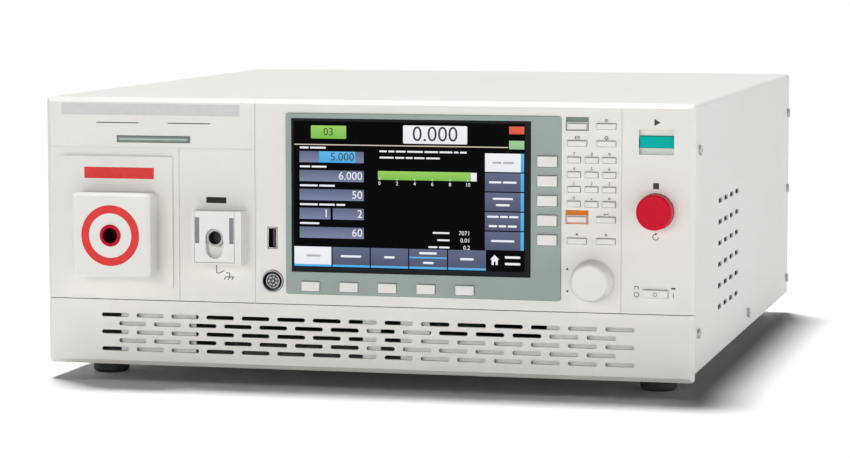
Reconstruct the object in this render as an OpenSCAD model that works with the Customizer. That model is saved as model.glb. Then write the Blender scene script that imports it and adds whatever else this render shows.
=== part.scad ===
// Bench high-voltage withstand tester: full-width case with a touch display,
// two test terminals, a keypad, start and stop buttons and an air-inlet grille.
// X runs to the right, Y from the front to the rear, Z up from the floor.

/* [Front layout] */
// Width of the high-voltage terminal zone at the left
hv_zone_w = 91.8; // [88:0.2:110]
// Width of the low terminal zone
low_zone_w = 51.6; // [48:0.2:70]
// Width of the port column
port_zone_w = 20.6; // [19:0.2:32]
// Width of the display bezel
bezel_w = 181; // [178:0.5:200]
// Height of the display bezel
bezel_h = 117.3; // [114:0.1:130]
// Width of the keypad zone
key_zone_w = 38.6; // [37.4:0.2:50]
// Width of the start and stop zone at the right
stop_zone_w = 46.4; // [40:0.2:60]
// Height of the lower grille panel
grille_h = 43.4; // [36:0.2:60]
// Strip of panel under the bezel
bezel_foot = 6.6; // [4:0.1:12]
// Strip of panel over the bezel
bezel_head = 8.5; // [5:0.1:16]

/* [Case] */
// Depth from the front face to the rear face
case_d = 480; // [430:1:560]
// Thickness of the folded sheet
sheet_t = 1.5; // [1:0.1:2]
// Outer bend radius of the top cover
bend_r = 2.4; // [2.1:0.1:5]
// Chamfer round the front panels
front_chamfer = 3; // [1:0.1:4]
// Corner radius of the front panels
front_corner = 2.6; // [1:0.1:4]
// Depth of the front rim, up to the edge of the cover
rim_d = 5; // [4.2:0.1:8]
// Width of the front rim, seen from behind
rim_w = 6; // [5:0.1:8]
// Wall of the front panels
front_t = 3; // [2:0.1:4]
// Gap between the upper and the lower front panel
seam_gap = 0.5; // [0.3:0.1:1]
// Length of the front panel ears inside the cover
ear_d = 22; // [18:0.5:30]
// Thickness of the front panel ears
ear_t = 2.5; // [2:0.1:4]
// Width of the grooves in the front panel
groove_w = 0.8; // [0.5:0.1:1.5]
// Depth of the grooves in the front panel
groove_t = 0.6; // [0.3:0.1:1.2]
// Height of the cross groove above the seam
groove_rise = 99.9; // [98:0.1:103]
// How far the front panel hangs below the case
panel_drop = 5.8; // [3:0.1:12]
// Height of the chassis side flanges
flange_h = 26; // [14:1:40]
// Depth of the rear panel flanges
rear_flange_d = 16; // [13:1:24]

/* [Grille and vents] */
// Slots in a long grille row
grille_cols = 15; // [9:1:16]
// Rows of grille slots
grille_rows = 5; // [3:1:5]
// Length of a grille slot
slot_l = 18.8; // [12:0.1:21]
// Height of a grille slot
slot_h = 2.7; // [1.5:0.1:4]
// Spacing of grille slots along a row
slot_pitch = 24; // [22:0.1:26]
// Spacing of grille rows
slot_row_pitch = 5.6; // [5:0.1:7]
// Height of the chassis wall behind the grille
air_wall_h = 36; // [26:0.5:50]
// Margin of the air openings in that wall
air_margin = 3; // [2:0.5:5]
// Length of a side vent slot
vent_l = 16; // [6:0.5:20]
// Height of a side vent slot
vent_h = 3.2; // [2:0.1:5]
// Spacing of side vents along the case
vent_pitch = 26.5; // [22:0.5:30]
// Spacing of side vents upwards
vent_rise = 14.1; // [8:0.1:18]
// Distance of the first side vent behind the front face
vent_set = 111; // [60:1:140]
// Height of the lowest side vent above the front panel's edge
vent_low = 36.6; // [30:0.1:50]

/* [Feet and screws] */
// Height of the feet
foot_h = 16; // [13:0.5:24]
// Radius of the feet
foot_r = 12; // [8:0.5:16]
// Distance of the feet from the sides
foot_inset_x = 29; // [22:0.5:60]
// Distance of the feet from the front and rear faces
foot_inset_y = 42; // [30:0.5:70]
// Chamfer at the lower edge of the feet
foot_chamfer = 2; // [0.5:0.1:4]
// Radius of the screw heads
screw_r = 3.3; // [2.5:0.1:5]
// Height of the screw heads
screw_head = 1.8; // [1:0.1:3]
// Radius of the screw shanks
shank_r = 1.9; // [1:0.1:2.3]
// Length of the screw shanks
shank_l = 5; // [3:0.1:7]
// Distance of the upper side screws below the top
screw_drop = 29.7; // [20:0.1:40]
// Distance of the grille panel's screws below the seam
grille_screw_drop = 13.4; // [10:0.1:14]
// Distance of the middle side screws behind the front face
mid_screw_set = 250; // [200:1:300]
// Height of the middle side screws above the case floor
mid_screw_rise = 10.4; // [8:0.1:11]
// Distance of the rear screws in front of the rear face
rear_screw_set = 9.6; // [8:0.1:10]
// Height of the lowest rear screws above the case floor
rear_screw_low = 12; // [10:1:30]
// Height of the middle rear screws above the case floor
rear_screw_mid = 82; // [60:1:110]

/* [High-voltage terminal] */
// Width of the raised plate
hv_plate_w = 76.3; // [60:0.1:84]
// Height of the raised plate
hv_plate_h = 86.2; // [62:0.1:90]
// Thickness of the raised plate
hv_plate_t = 1.8; // [1:0.1:4]
// Distance of the plate from the left edge
hv_plate_inset = 11.2; // [4:0.1:14]
// Height of the plate above the seam
hv_plate_rise = 7.9; // [2:0.1:9]
// How far the terminal lies right of the plate's middle
hv_shift = 1.6; // [0:0.1:4]
// Width of the terminal block
hv_block_w = 53.6; // [44:0.1:58]
// Height of the terminal block
hv_block_h = 55; // [44:0.5:60]
// Depth of the terminal block
hv_block_d = 18; // [12:0.5:26]
// Bevel round the face of the terminal block
hv_bevel = 1.8; // [1:0.1:6]
// Corner radius of the terminal block
hv_corner = 4; // [2:0.1:8]
// Height of the high-voltage socket above the seam
terminal_rise = 43.6; // [38:0.1:46]
// Outer radius of the high-voltage socket
hv_socket_r = 7; // [6:0.1:9]
// Bore radius of the high-voltage socket
hv_bore_r = 5.2; // [3.5:0.1:5.6]
// Depth of the high-voltage bore
hv_bore_l = 19; // [12:0.5:19]
// How far the red collar stands out of the block
hv_collar = 0.6; // [0.2:0.1:2]
// Length of the high-voltage socket behind the panel
hv_tail = 22; // [12:0.5:30]
// Lap of the socket nuts behind the panel
nut_lap = 4.5; // [3:0.1:6]
// Thickness of the socket nuts
nut_t = 3.5; // [2:0.1:5]

/* [Low terminal] */
// Distance of the low terminal from the left edge of its zone
low_inset = 27.7; // [22:0.1:30]
// Width of the low terminal block
low_block_w = 33.6; // [33:0.1:38]
// How far the block's middle lies right of its socket
low_shift = 1.2; // [0:0.1:1.4]
// How far the low socket lies below the high-voltage socket
low_drop = 0.7; // [0:0.1:2]
// Height of the low terminal block
low_block_h = 34.6; // [33:0.1:42]
// Depth of the low terminal block
low_block_d = 13; // [11:0.1:18]
// Height of the stop under the slider
low_stop_h = 1.2; // [0.8:0.1:2]
// Lip of the rails over the slider
low_lip = 0.9; // [0.6:0.1:1.2]
// Thickness of the rail lip
low_lip_t = 1.2; // [0.8:0.1:2]
// Width of the clear slider
slider_w = 28.6; // [25:0.1:28.8]
// Thickness of the clear slider
slider_t = 3.2; // [2:0.1:4]
// Travel of the clear slider
slider_travel = 7.4; // [3:0.1:8]
// Width of the finger bars on the slider
slider_bar_w = 3; // [1.5:0.1:3.4]
// Height of the finger bars on the slider
slider_bar_h = 16.8; // [8:0.1:20]
// Margin beside the finger bars
slider_bar_margin = 0.3; // [0.2:0.1:1]
// Distance of the finger bars from the slider's top
slider_bar_top = 4; // [2:0.1:8]
// Outer radius of the low socket
low_socket_r = 5.7; // [5.2:0.1:6]
// Bore radius of the low socket
low_bore_r = 4.4; // [2.5:0.1:4.6]
// Depth of the low bore
low_bore_l = 9; // [6:0.1:10]
// Length of the low socket behind the panel
low_tail = 14; // [8:0.5:20]

/* [Ports and lamp] */
// Distance of the ports from the left edge of their column
port_inset = 11.4; // [9.6:0.1:12]
// Height of the USB port above the seam
usb_rise = 42.7; // [36:0.1:50]
// Width of the upright USB opening
usb_w = 5.1; // [4.5:0.1:6]
// Height of the upright USB opening
usb_h = 12.5; // [12:0.1:14]
// Wall of the USB shell
usb_wall = 0.7; // [0.4:0.1:1]
// Depth of the USB opening
usb_l = 11; // [8:0.5:14]
// Thickness of the USB tongue
usb_tongue_t = 1.6; // [1:0.1:2]
// Gap round the USB tongue
usb_tongue_gap = 0.7; // [0.4:0.1:1]
// Lap of the USB shell behind the panel
usb_lap = 1.5; // [1:0.1:2]
// Height of the round connector above the seam
remote_rise = 14.6; // [12:0.1:20]
// Outer radius of the round connector
remote_r = 7.1; // [6:0.1:7.6]
// Wall of the round connector's shell
remote_wall = 0.9; // [0.6:0.1:1.2]
// Radius of the round connector's core
remote_core_r = 4.6; // [4:0.1:5]
// Depth of the groove round the core
remote_l = 6; // [4:0.5:9]
// How far the round connector stands out
remote_proud = 0.8; // [0.3:0.1:2]
// How far its core lies behind the panel's face
remote_core_sink = 0.5; // [0.2:0.1:2]
// Length of the round connector behind its groove
remote_tail = 6; // [4:0.5:10]
// Lap of the round connector's nut behind the panel
remote_lap = 2; // [1:0.1:2.4]
// Width of the lamp lens
lamp_w = 50; // [30:0.5:60]
// Height of the lamp lens
lamp_h = 4.2; // [3:0.1:5]
// Distance of the lamp's middle from the left edge
lamp_inset = 74.2; // [50:0.1:80]
// Height of the lamp's middle above the seam
lamp_rise = 105.3; // [104:0.1:112]
// How far the lens stands out
lamp_proud = 0.6; // [0.2:0.1:1.5]
// Lap of the lens behind the panel
lamp_lap = 1.5; // [1:0.1:2]

/* [Display] */
// Width of the bezel right of the screen, where its keys lie
screen_right = 19.5; // [18.5:0.1:26]
// Height of the bezel below the screen, where its keys lie
screen_foot = 14.5; // [13:0.1:22]
// Distance of the screen from the left edge of the bezel
screen_inset_x = 3.8; // [3:0.1:6]
// Distance of the screen from the top edge of the bezel
screen_inset_z = 3.4; // [3:0.1:5]
// How far the bezel stands out
bezel_proud = 0.8; // [0.4:0.1:2]
// Lap of the bezel over the panel
bezel_lap = 1.5; // [1:0.1:1.8]
// How far the bezel reaches behind the panel
bezel_back = 1; // [0.5:0.1:2]
// Corner radius of the bezel
bezel_corner = 2; // [1:0.1:5]
// How far the glass lies behind the bezel's face
glass_sink = 0.7; // [0.3:0.1:1.2]
// Lip of the display module behind the bezel
module_lip = 1.2; // [0.8:0.1:1.4]
// Depth of the display module behind the bezel
module_d = 8; // [5:0.5:12]

/* [Keys] */
// Width of the keys below the screen
row_key_w = 12; // [9:0.1:14]
// Height of the keys below the screen
row_key_h = 6.2; // [5:0.1:7]
// Spacing of the keys below the screen
row_key_pitch = 25.5; // [20:0.1:28]
// Distance of the first key below the screen from the bezel's left edge
row_key_inset = 16.7; // [12:0.1:22]
// Height of the keys below the screen above the bezel's lower edge
row_key_rise = 5.4; // [5:0.1:6.2]
// Width of the keys beside the screen
side_key_w = 12.6; // [10:0.1:13]
// Height of the keys beside the screen
side_key_h = 6.8; // [5:0.1:8]
// Spacing of the keys beside the screen
side_key_pitch = 12.45; // [11:0.05:15]
// Distance of the keys beside the screen from the bezel's right edge
side_key_inset = 9; // [8.6:0.1:10]
// Height of the middle key beside the screen above the bezel's lower edge
side_key_rise = 63.7; // [50:0.1:75]
// Width of a wide keypad key
wide_key_w = 12.1; // [9:0.1:14]
// Width of a narrow keypad key
digit_key_w = 8.2; // [6:0.1:9]
// Height of a keypad key
key_h = 3.6; // [3:0.1:5]
// Column spacing of wide keys
wide_pitch = 18.6; // [16:0.1:20]
// Column spacing of narrow keys
digit_pitch_x = 11.3; // [10.5:0.1:12]
// Row spacing of narrow keys
digit_pitch_z = 9.27; // [7:0.01:9.4]
// Row spacing of the two upper key rows
upper_pitch = 10.9; // [8:0.1:11]
// Height of the top key row above the seam
top_row_rise = 117.7; // [114:0.1:122]
// Step from the upper rows down to the narrow keys
digit_step = 10.4; // [8:0.1:11]
// Step from the narrow keys down to the back and enter keys
enter_step = 9.7; // [7:0.1:10]
// Step from there down to the arrow keys
arrow_step = 13.7; // [8:0.1:14]
// How far keys stand out
key_proud = 1.4; // [1.2:0.1:2.5]
// Travel of the keys
key_travel = 1; // [0.5:0.1:1.1]
// Bevel round the face of a key
key_bevel = 0.4; // [0.1:0.1:0.8]
// Flange that keeps a key behind its panel
key_flange = 0.6; // [0.4:0.1:0.7]
// Thickness of the key flange
key_flange_t = 1.2; // [0.8:0.1:2]

/* [Knob and buttons] */
// Distance of the knob from the left edge of the keypad zone
knob_inset = 20; // [18:0.1:22]
// Height of the knob above the seam
knob_rise = 20.2; // [19:0.1:22]
// Radius of the knob at its base
knob_r = 13.4; // [9:0.1:14]
// Radius of the knob's face
knob_face_r = 12; // [7:0.1:13]
// Height of the knob
knob_l = 13; // [8:0.5:18]
// Rounding of the knob's edge
knob_round = 2.4; // [1:0.1:4]
// Gap between the knob and the panel
knob_gap = 0.6; // [0.3:0.1:1]
// Radius of the knob's spindle
spindle_r = 3; // [2:0.1:4]
// Radius of the encoder's threaded neck
encoder_r = 5; // [4.6:0.1:6]
// Width of the encoder's body
encoder_w = 14; // [12:0.5:16]
// Radial gap of spindles in their bores
spindle_gap = 0.06; // [0.02:0.01:0.1]
// Width of the start well
start_w = 22.2; // [18:0.1:28]
// Height of the start well
start_h = 15.8; // [13:0.1:18]
// Depth of the start well
start_d = 4.2; // [4:0.1:8]
// Height of the start key
start_key_h = 7.2; // [5:0.1:9]
// How far the start key lies behind the panel's face
start_sink = 1.6; // [0.5:0.1:2.5]
// Height of the start key above the seam
start_rise = 108.3; // [104:0.1:114]
// Travel of the start key
start_travel = 2; // [1:0.1:3]
// Radius of the stop button
stop_r = 11.3; // [9:0.1:14]
// How far the stop button stands out
stop_l = 9.5; // [6:0.1:14]
// Rounding of the stop button's edge
stop_round = 1.8; // [0.5:0.1:3]
// Height of the stop button above the seam
stop_rise = 64.8; // [55:0.1:75]
// Travel of the stop button
stop_travel = 3; // [1:0.1:4]
// Width of the power button
power_w = 16; // [12:0.1:24]
// Height of the power button
power_h = 5; // [4:0.1:8]
// How far the power button stands out
power_proud = 2.2; // [2:0.1:5]
// Travel of the power button
power_travel = 1.6; // [1:0.1:1.8]
// Height of the power button above the seam
power_rise = 12.9; // [9:0.1:20]

/* [Boards and power parts] */
// Thickness of circuit boards
board_t = 1.6; // [1:0.1:2.4]
// Radius of the board posts
post_r = 1.6; // [1:0.1:2]
// Width of the key switches
key_switch_w = 3; // [2:0.1:3.2]
// Width of the main board
main_w = 190; // [120:1:200]
// Length of the main board
main_l = 150; // [100:1:170]
// Height of the main board's posts
main_post = 8; // [5:0.5:15]
// Distance of the main board behind the front face
main_set = 70; // [60:1:90]
// Distance of the main board's posts from its edges
main_margin = 8; // [5:0.5:12]
// Radius of the main board's posts
main_post_r = 3; // [2:0.1:4]
// Radius of the capacitors
cap_r = 12; // [8:0.5:15]
// Height of the capacitors
cap_h = 40; // [20:1:60]
// Gap between the capacitors
cap_gap = 4; // [2:0.5:8]
// Distance of the capacitors from the board's front edge
cap_set = 105; // [85:1:105]
// Width of the processor
chip_w = 32; // [20:1:40]
// Height of the processor
chip_h = 4; // [2:0.5:8]
// Distance of the processor from the board's front edge
chip_set = 30; // [15:1:40]
// Thickness of the transformer core's legs
core_leg = 18; // [12:0.5:24]
// Width of the transformer's windows
core_window = 22; // [16:0.5:30]
// Height of the transformer's windows
core_window_h = 62; // [40:0.5:70]
// Stack of the transformer's core
core_stack = 64; // [40:0.5:80]
// Overhang of the winding beyond the core
coil_over = 16; // [8:0.5:20]
// Corner radius of the winding
coil_corner = 11; // [6:0.5:12]
// Gap between the winding and the core
coil_gap = 1; // [0.5:0.1:2]
// Distance of the transformer's middle from the left side
core_inset = 95; // [80:1:110]
// Distance of the transformer's middle in front of the rear face
core_set = 190; // [150:1:210]
// Width of the heat sink
sink_w = 110; // [80:1:120]
// Length of the heat sink
sink_l = 150; // [100:1:170]
// Height of the heat sink's fins
sink_h = 70; // [40:1:90]
// Thickness of the heat sink's base
sink_base = 8; // [5:0.5:14]
// Thickness of a fin
fin_t = 3; // [2:0.1:4]
// Spacing of the fins
fin_pitch = 8; // [7:0.1:12]
// Distance of the heat sink's middle from the right side
sink_inset = 110; // [100:1:120]
// Gap between the heat sink and the fan
sink_gap = 25; // [10:1:40]

/* [Rear] */
// Width of the fan frame
fan_w = 119; // [90:1:125]
// Depth of the fan frame
fan_d = 38; // [30:0.5:42]
// Radius of the fan's air way
fan_bore_r = 56; // [40:0.5:57]
// Radius of the fan's hub
fan_hub_r = 20; // [16:0.5:26]
// Gap between the blades and the air way
blade_gap = 1.2; // [0.8:0.1:2]
// Number of blades
blades = 7; // [5:1:9]
// Thickness of a blade
blade_t = 1.8; // [1.2:0.1:3]
// Pitch angle of a blade
blade_angle = 38; // [20:1:50]
// Radius of the fan's shaft
fan_shaft_r = 2.5; // [1.5:0.1:4]
// Thickness of the fan's hub carrier
carrier_t = 5; // [4:0.5:8]
// Gap between the fan's rotor and its carrier
rotor_gap = 1; // [0.6:0.1:2]
// Distance of the rotor from the fan's rear face
rotor_set = 3; // [2:0.1:5]
// Width of the hub carrier's struts
strut_w = 6; // [4:0.5:10]
// Distance of the fan's middle from the right side
fan_inset = 110; // [75:1:130]
// Height of the fan's middle above the case floor
fan_rise = 84; // [70:0.5:90]
// Width of a fan slot in the rear panel
fan_slot = 6; // [4:0.1:7]
// Spacing of the fan slots
fan_slot_pitch = 9.4; // [8:0.1:12]
// Distance of the fan slots from the edge of the air way
fan_slot_margin = 2; // [1:0.1:5]
// Width of the mains inlet's flange
inlet_w = 30; // [28:0.5:34]
// Height of the mains inlet's flange
inlet_h = 48; // [44:0.5:56]
// Width of the mains inlet's opening
inlet_bay_w = 24; // [22:0.1:26]
// Height of the mains inlet's opening
inlet_bay_h = 16.4; // [15:0.1:18]
// Depth of the mains inlet's opening
inlet_bay_d = 16; // [12:0.5:18]
// Length of the mains inlet's blades
inlet_pin = 10; // [8:0.5:11]
// Width of the fuse drawer under the opening
drawer_w = 24; // [20:0.5:26]
// Height of the fuse drawer
drawer_h = 12; // [8:0.5:13]
// How far the fuse drawer stands out
drawer_proud = 1.5; // [0.8:0.1:3]
// Thickness of connector flanges
flange_t = 2; // [1.5:0.1:3]
// Distance of the mains inlet from the right side
inlet_inset = 27; // [24:0.5:30]
// Height of the mains inlet above the case floor
inlet_rise = 50; // [40:0.5:110]
// Distance of the connector column from the left side
port_set = 120; // [95:1:150]
// Height of the connector row above the case floor
rear_port_rise = 60; // [50:1:75]
// Step between the two connector rows
rear_port_step = 45; // [35:1:60]
// How far the connector shells stand out
shell_l = 6; // [4:0.1:9]
// Radius of the earth post
earth_r = 4; // [3:0.1:6]
// How far the earth post stands out
earth_l = 14; // [9:0.5:20]
// Height of the earth post above the case floor
earth_rise = 16; // [14:0.5:18]
// Height of the earth nut
earth_nut_h = 4.6; // [3:0.1:6]
// Lap of the earth nut beyond the post
earth_nut_lap = 2.4; // [1.5:0.1:3]

/* [Fits] */
// Gap round moving pieces
slip = 0.3; // [0.2:0.05:0.4]
// Gap round fixed pieces
fit = 0.2; // [0.1:0.05:0.3]

/* [Hidden] */
$fn = 48;
// Overshoot of cuts and overlap of joined shapes
over = 1;
// Overall sizes and the planes that everything is set from
case_w = hv_zone_w + low_zone_w + port_zone_w + bezel_w + key_zone_w + stop_zone_w;
panel_h = grille_h + bezel_foot + bezel_h + bezel_head;
hv_reach = hv_plate_t + hv_block_d + hv_collar;
front_y = (hv_reach - earth_l - case_d) / 2;
rear_y = front_y + case_d;
floor_z = foot_h;
deck_z = floor_z + sheet_t;
panel_z = foot_h - panel_drop;
seam_z = panel_z + grille_h;
top_z = panel_z + panel_h;
left_x = -case_w / 2;
right_x = case_w / 2;
// Left edges of the front zones
low_x0 = left_x + hv_zone_w;
port_x0 = low_x0 + low_zone_w;
bezel_x0 = port_x0 + port_zone_w;
key_x0 = bezel_x0 + bezel_w;
stop_x0 = key_x0 + key_zone_w;
// Middles of the front features
plate_x = left_x + hv_plate_inset + hv_plate_w / 2;
hv_x = plate_x + hv_shift;
low_x = low_x0 + low_inset;
port_x = port_x0 + port_inset;
bezel_x = bezel_x0 + bezel_w / 2;
bezel_z0 = seam_z + bezel_foot;
bezel_z = bezel_z0 + bezel_h / 2;
screen_w = bezel_w - screen_inset_x - screen_right;
screen_h = bezel_h - screen_inset_z - screen_foot;
screen_x = bezel_x0 + screen_inset_x + screen_w / 2;
screen_z = bezel_z0 + bezel_h - screen_inset_z - screen_h / 2;
key_x = key_x0 + key_zone_w / 2;
knob_x = key_x0 + knob_inset;
knob_z = seam_z + knob_rise;
stop_x = stop_x0 + (stop_zone_w - front_chamfer) / 2;
terminal_z = seam_z + terminal_rise;
low_z = terminal_z - low_drop;
// Planes behind the front face, measured from it
bezel_rear = front_t + bezel_back;
board_front = bezel_rear + module_d + fit;
flange_gap = slip;
flange_clear = 2;
well_floor = 1.5;
well_wall = 1.5;
stop_flange = 1;
// Low terminal planes, measured from the front face
slider_front = -low_block_d + low_lip_t + slip;
slider_rear = slider_front + slider_t;
low_pocket_w = slider_w + 2 * slip;
low_pocket_h = low_block_h - low_stop_h;
low_pocket_z = low_stop_h / 2;
slider_h = low_pocket_h - slip;
slider_z = low_pocket_z + slip / 2;
// Keypad: column offset, row height and width of each key, with its name
row_b = top_row_rise - upper_pitch;
row_c = row_b - digit_step;
row_d = row_c - 3 * digit_pitch_z - enter_step;
row_e = row_d - arrow_step;
digit_names = ["7", "8", "9", "4", "5", "6", "1", "2", "3", "0", "point", "clear"];
wide_names = ["mode_1", "mode_2", "mode_3", "mode_4", "back", "enter", "left", "right"];
wide_rows = [top_row_rise, top_row_rise, row_b, row_b, row_d, row_d, row_e, row_e];
wide_keys = [for (i = [0 : 7])
  [str("key_", wide_names[i]), (i % 2 - 0.5) * wide_pitch, wide_rows[i], wide_key_w]];
digit_keys = [for (i = [0 : 11])
  [str("key_", digit_names[i]), (i % 3 - 1) * digit_pitch_x,
   row_c - floor(i / 3) * digit_pitch_z, digit_key_w]];
keypad = concat(wide_keys, digit_keys);
// Keys round the screen: name, X, Z, width and height
row_keys = [for (i = [0 : 4])
  [str("row_key_", i + 1), bezel_x0 + row_key_inset + i * row_key_pitch, bezel_z0 + row_key_rise,
   row_key_w, row_key_h]];
side_keys = [for (i = [0 : 4])
  [str("side_key_", i + 1), key_x0 - side_key_inset, bezel_z0 + side_key_rise + (2 - i) * side_key_pitch,
   side_key_w, side_key_h]];
soft_keys = concat(row_keys, side_keys);
// Side screws: distance behind the front face and height
front_screw_set = rim_d + ear_d / 2;
ear_screws = [[front_screw_set, top_z - screw_drop]];
grille_screws = [[front_screw_set, seam_z - grille_screw_drop]];
flange_screws = [[mid_screw_set, floor_z + mid_screw_rise]];
rear_screws = [for (z = [floor_z + rear_screw_low, floor_z + rear_screw_mid, top_z - screw_drop])
  [case_d - rear_screw_set, z]];
all_screws = concat(ear_screws, grille_screws, flange_screws, rear_screws);
// Air openings in the chassis wall: left and right edge in slot pitches from the middle, and whether
// only the upper part is open
air_ways = [[-7.8, -6.9, false], [-4.75, -0.05, false], [0.45, 1, false], [1.8, 5, true]];
air_top = min(floor_z + air_wall_h, seam_z);
// Feet
feet_spots = [for (x = [left_x + foot_inset_x, right_x - foot_inset_x])
  for (y = [front_y + foot_inset_y, rear_y - foot_inset_y]) [x, y]];
// Switch board and its posts
board_margin = 2;
post_margin = 8;
board_x0 = bezel_x0 + board_margin;
board_x1 = right_x - rim_w - board_margin;
board_z0 = seam_z + board_margin;
board_z1 = top_z - sheet_t - board_margin;
post_spots = [for (x = [bezel_x0 + post_margin, stop_x0 - post_margin])
  for (z = [seam_z + bezel_foot / 2, top_z - bezel_head / 2]) [x, z]];
// Fan and rear connectors
fan_x = right_x - fan_inset;
fan_z = floor_z + fan_rise;
fan_y1 = rear_y - sheet_t;
fan_y0 = fan_y1 - fan_d;
carrier_y1 = fan_y0 + carrier_t;
inlet_x = right_x - inlet_inset;
inlet_z = floor_z + inlet_rise;
inlet_lap_w = 2;
inlet_lap_h = 4;
inlet_back = 4;
inlet_body_w = inlet_w - 2 * inlet_lap_w;
inlet_body_h = inlet_h - 2 * inlet_lap_h;
inlet_bay_margin = 6;
inlet_bay_z = inlet_h / 2 - inlet_bay_h / 2 - inlet_bay_margin;
blade_pitch = 7;
blade_drop = 2;
blade_w = 2;
blade_h = 4;
rear_port_x = left_x + port_set;
rear_port_z = floor_z + rear_port_rise;
dsub_h = 8.4;
dsub_flange_h = 12.5;
dsub_long = 55.4;
dsub_short = 16.9;
dsub_ear = 7;
dsub_slant = 1.5;
dsub_back = 8;
jackscrew_r = 2.6;
lan_w = 11.8;
lan_h = 8.2;
lan_l = 12;
usb_b_w = 8.5;
usb_b_h = 7.8;
usb_b_l = 10;
usb_b_core_w = 5.5;
usb_b_core_h = 3.2;
jack_wall = 2;
jack_flange = 2;
jack_back = 3;
jack_proud = 0.8;
jack_step = 40;

// Colours
panel_white = "#e4e0da";
case_grey = "#d9dad4";
bezel_grey = "#9fb0ac";
key_white = "#efece8";

// Shapes that repeat
module block(x0, x1, y0, y1, z0, z1) {
  translate([x0, y0, z0]) cube([x1 - x0, y1 - y0, z1 - z0]);
}
// A box centred on the middle of a feature, between two depths
module box(w, h, y0, y1) {
  block(-w / 2, w / 2, y0, y1, -h / 2, h / 2);
}
module rod(r, y0, y1) {
  translate([0, y0, 0]) rotate([-90, 0, 0]) cylinder(r = r, h = y1 - y0);
}
module round_rect(w, h, r) {
  square([w - 2 * r, h], center = true);
  square([w, h - 2 * r], center = true);
  for (x = [-1, 1]) for (z = [-1, 1]) translate([x * (w / 2 - r), z * (h / 2 - r)]) circle(r);
}
module slot_shape(l, h) {
  square([l - h, h], center = true);
  for (x = [-1, 1]) translate([x * (l - h) / 2, 0]) circle(h / 2);
}
// A flat shape in the front plane, given depth
module slab(y0, y1) {
  translate([0, y1, 0]) rotate([90, 0, 0]) linear_extrude(y1 - y0) children();
}
// A block whose front edges are bevelled
module bevel_block(w, h, y0, y1, b) {
  intersection() {
    translate([0, 0, -h / 2]) linear_extrude(h)
      polygon([[-w / 2, y1], [-w / 2, y0 + b], [b - w / 2, y0],
        [w / 2 - b, y0], [w / 2, y0 + b], [w / 2, y1]]);
    rotate([90, 0, 90]) translate([0, 0, -w / 2]) linear_extrude(w)
      polygon([[y1, -h / 2], [y0 + b, -h / 2], [y0, b - h / 2],
        [y0, h / 2 - b], [y0 + b, h / 2], [y1, h / 2]]);
  }
}
// Places a feature on the front face
module on_front(x, z) {
  translate([x, front_y, z]) children();
}
module on_rear(x, z) {
  translate([x, rear_y, z]) children();
}
// Mirrors a feature to both sides of the case
module both_sides() {
  children();
  mirror([1, 0, 0]) children();
}
// Holes along X for the side screws
module screw_holes(spots) {
  for (s = spots) translate([right_x + over, front_y + s[0], s[1]]) rotate([0, -90, 0])
    cylinder(r = shank_r + fit, h = shank_l + 3 * over);
}
// A key with the flange that keeps it behind its wall
module key(w, h, proud, wall) {
  back = wall + flange_gap + key_flange_t;
  bevel_block(w, h, -proud, back, key_bevel);
  box(w + 2 * key_flange, h + 2 * key_flange, wall + flange_gap, back);
}

// Case
module base_chassis() {
  color(case_grey) difference() {
    union() {
      block(left_x + sheet_t + fit, right_x - sheet_t - fit, front_y + rim_d, rear_y, floor_z, deck_z);
      both_sides() block(right_x - 2 * sheet_t - fit, right_x - sheet_t - fit,
        front_y + rim_d + ear_d + flange_clear, rear_y - rear_flange_d - flange_clear,
        floor_z, floor_z + flange_h);
      block(left_x + rim_w + board_margin, right_x - rim_w - board_margin,
        front_y + rim_d, front_y + rim_d + sheet_t, floor_z, air_top);
    }
    both_sides() screw_holes(flange_screws);
    for (a = air_ways) block(a[0] * slot_pitch, a[1] * slot_pitch,
      front_y + rim_d - over, front_y + rim_d + sheet_t + over,
      a[2] ? panel_z + (grille_h + slot_row_pitch) / 2 : deck_z, air_top - air_margin);
  }
}
module cover_shape(t, r) {
  z0 = floor_z - over;
  w = case_w - 2 * t;
  top = top_z - t;
  translate([-w / 2, z0]) square([w, top - r - z0]);
  translate([r - w / 2, top - r]) square([w - 2 * r, r]);
  for (x = [-1, 1]) translate([x * (w / 2 - r), top - r]) circle(r);
}
module top_cover() {
  color(case_grey) difference() {
    translate([0, rear_y, 0]) rotate([90, 0, 0]) linear_extrude(case_d - rim_d) difference() {
      cover_shape(0, bend_r);
      cover_shape(sheet_t, bend_r - sheet_t);
      translate([left_x - over, floor_z - 2 * over]) square([case_w + 2 * over, 2 * over]);
    }
    both_sides() {
      screw_holes(all_screws);
      for (i = [0 : 3]) for (j = [0 : 5])
        translate([right_x, front_y + vent_set + i * vent_pitch, panel_z + vent_low + j * vent_rise])
          rotate([90, 0, 90]) linear_extrude(4 * sheet_t, center = true) slot_shape(vent_l, vent_h);
    }
  }
}
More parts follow.
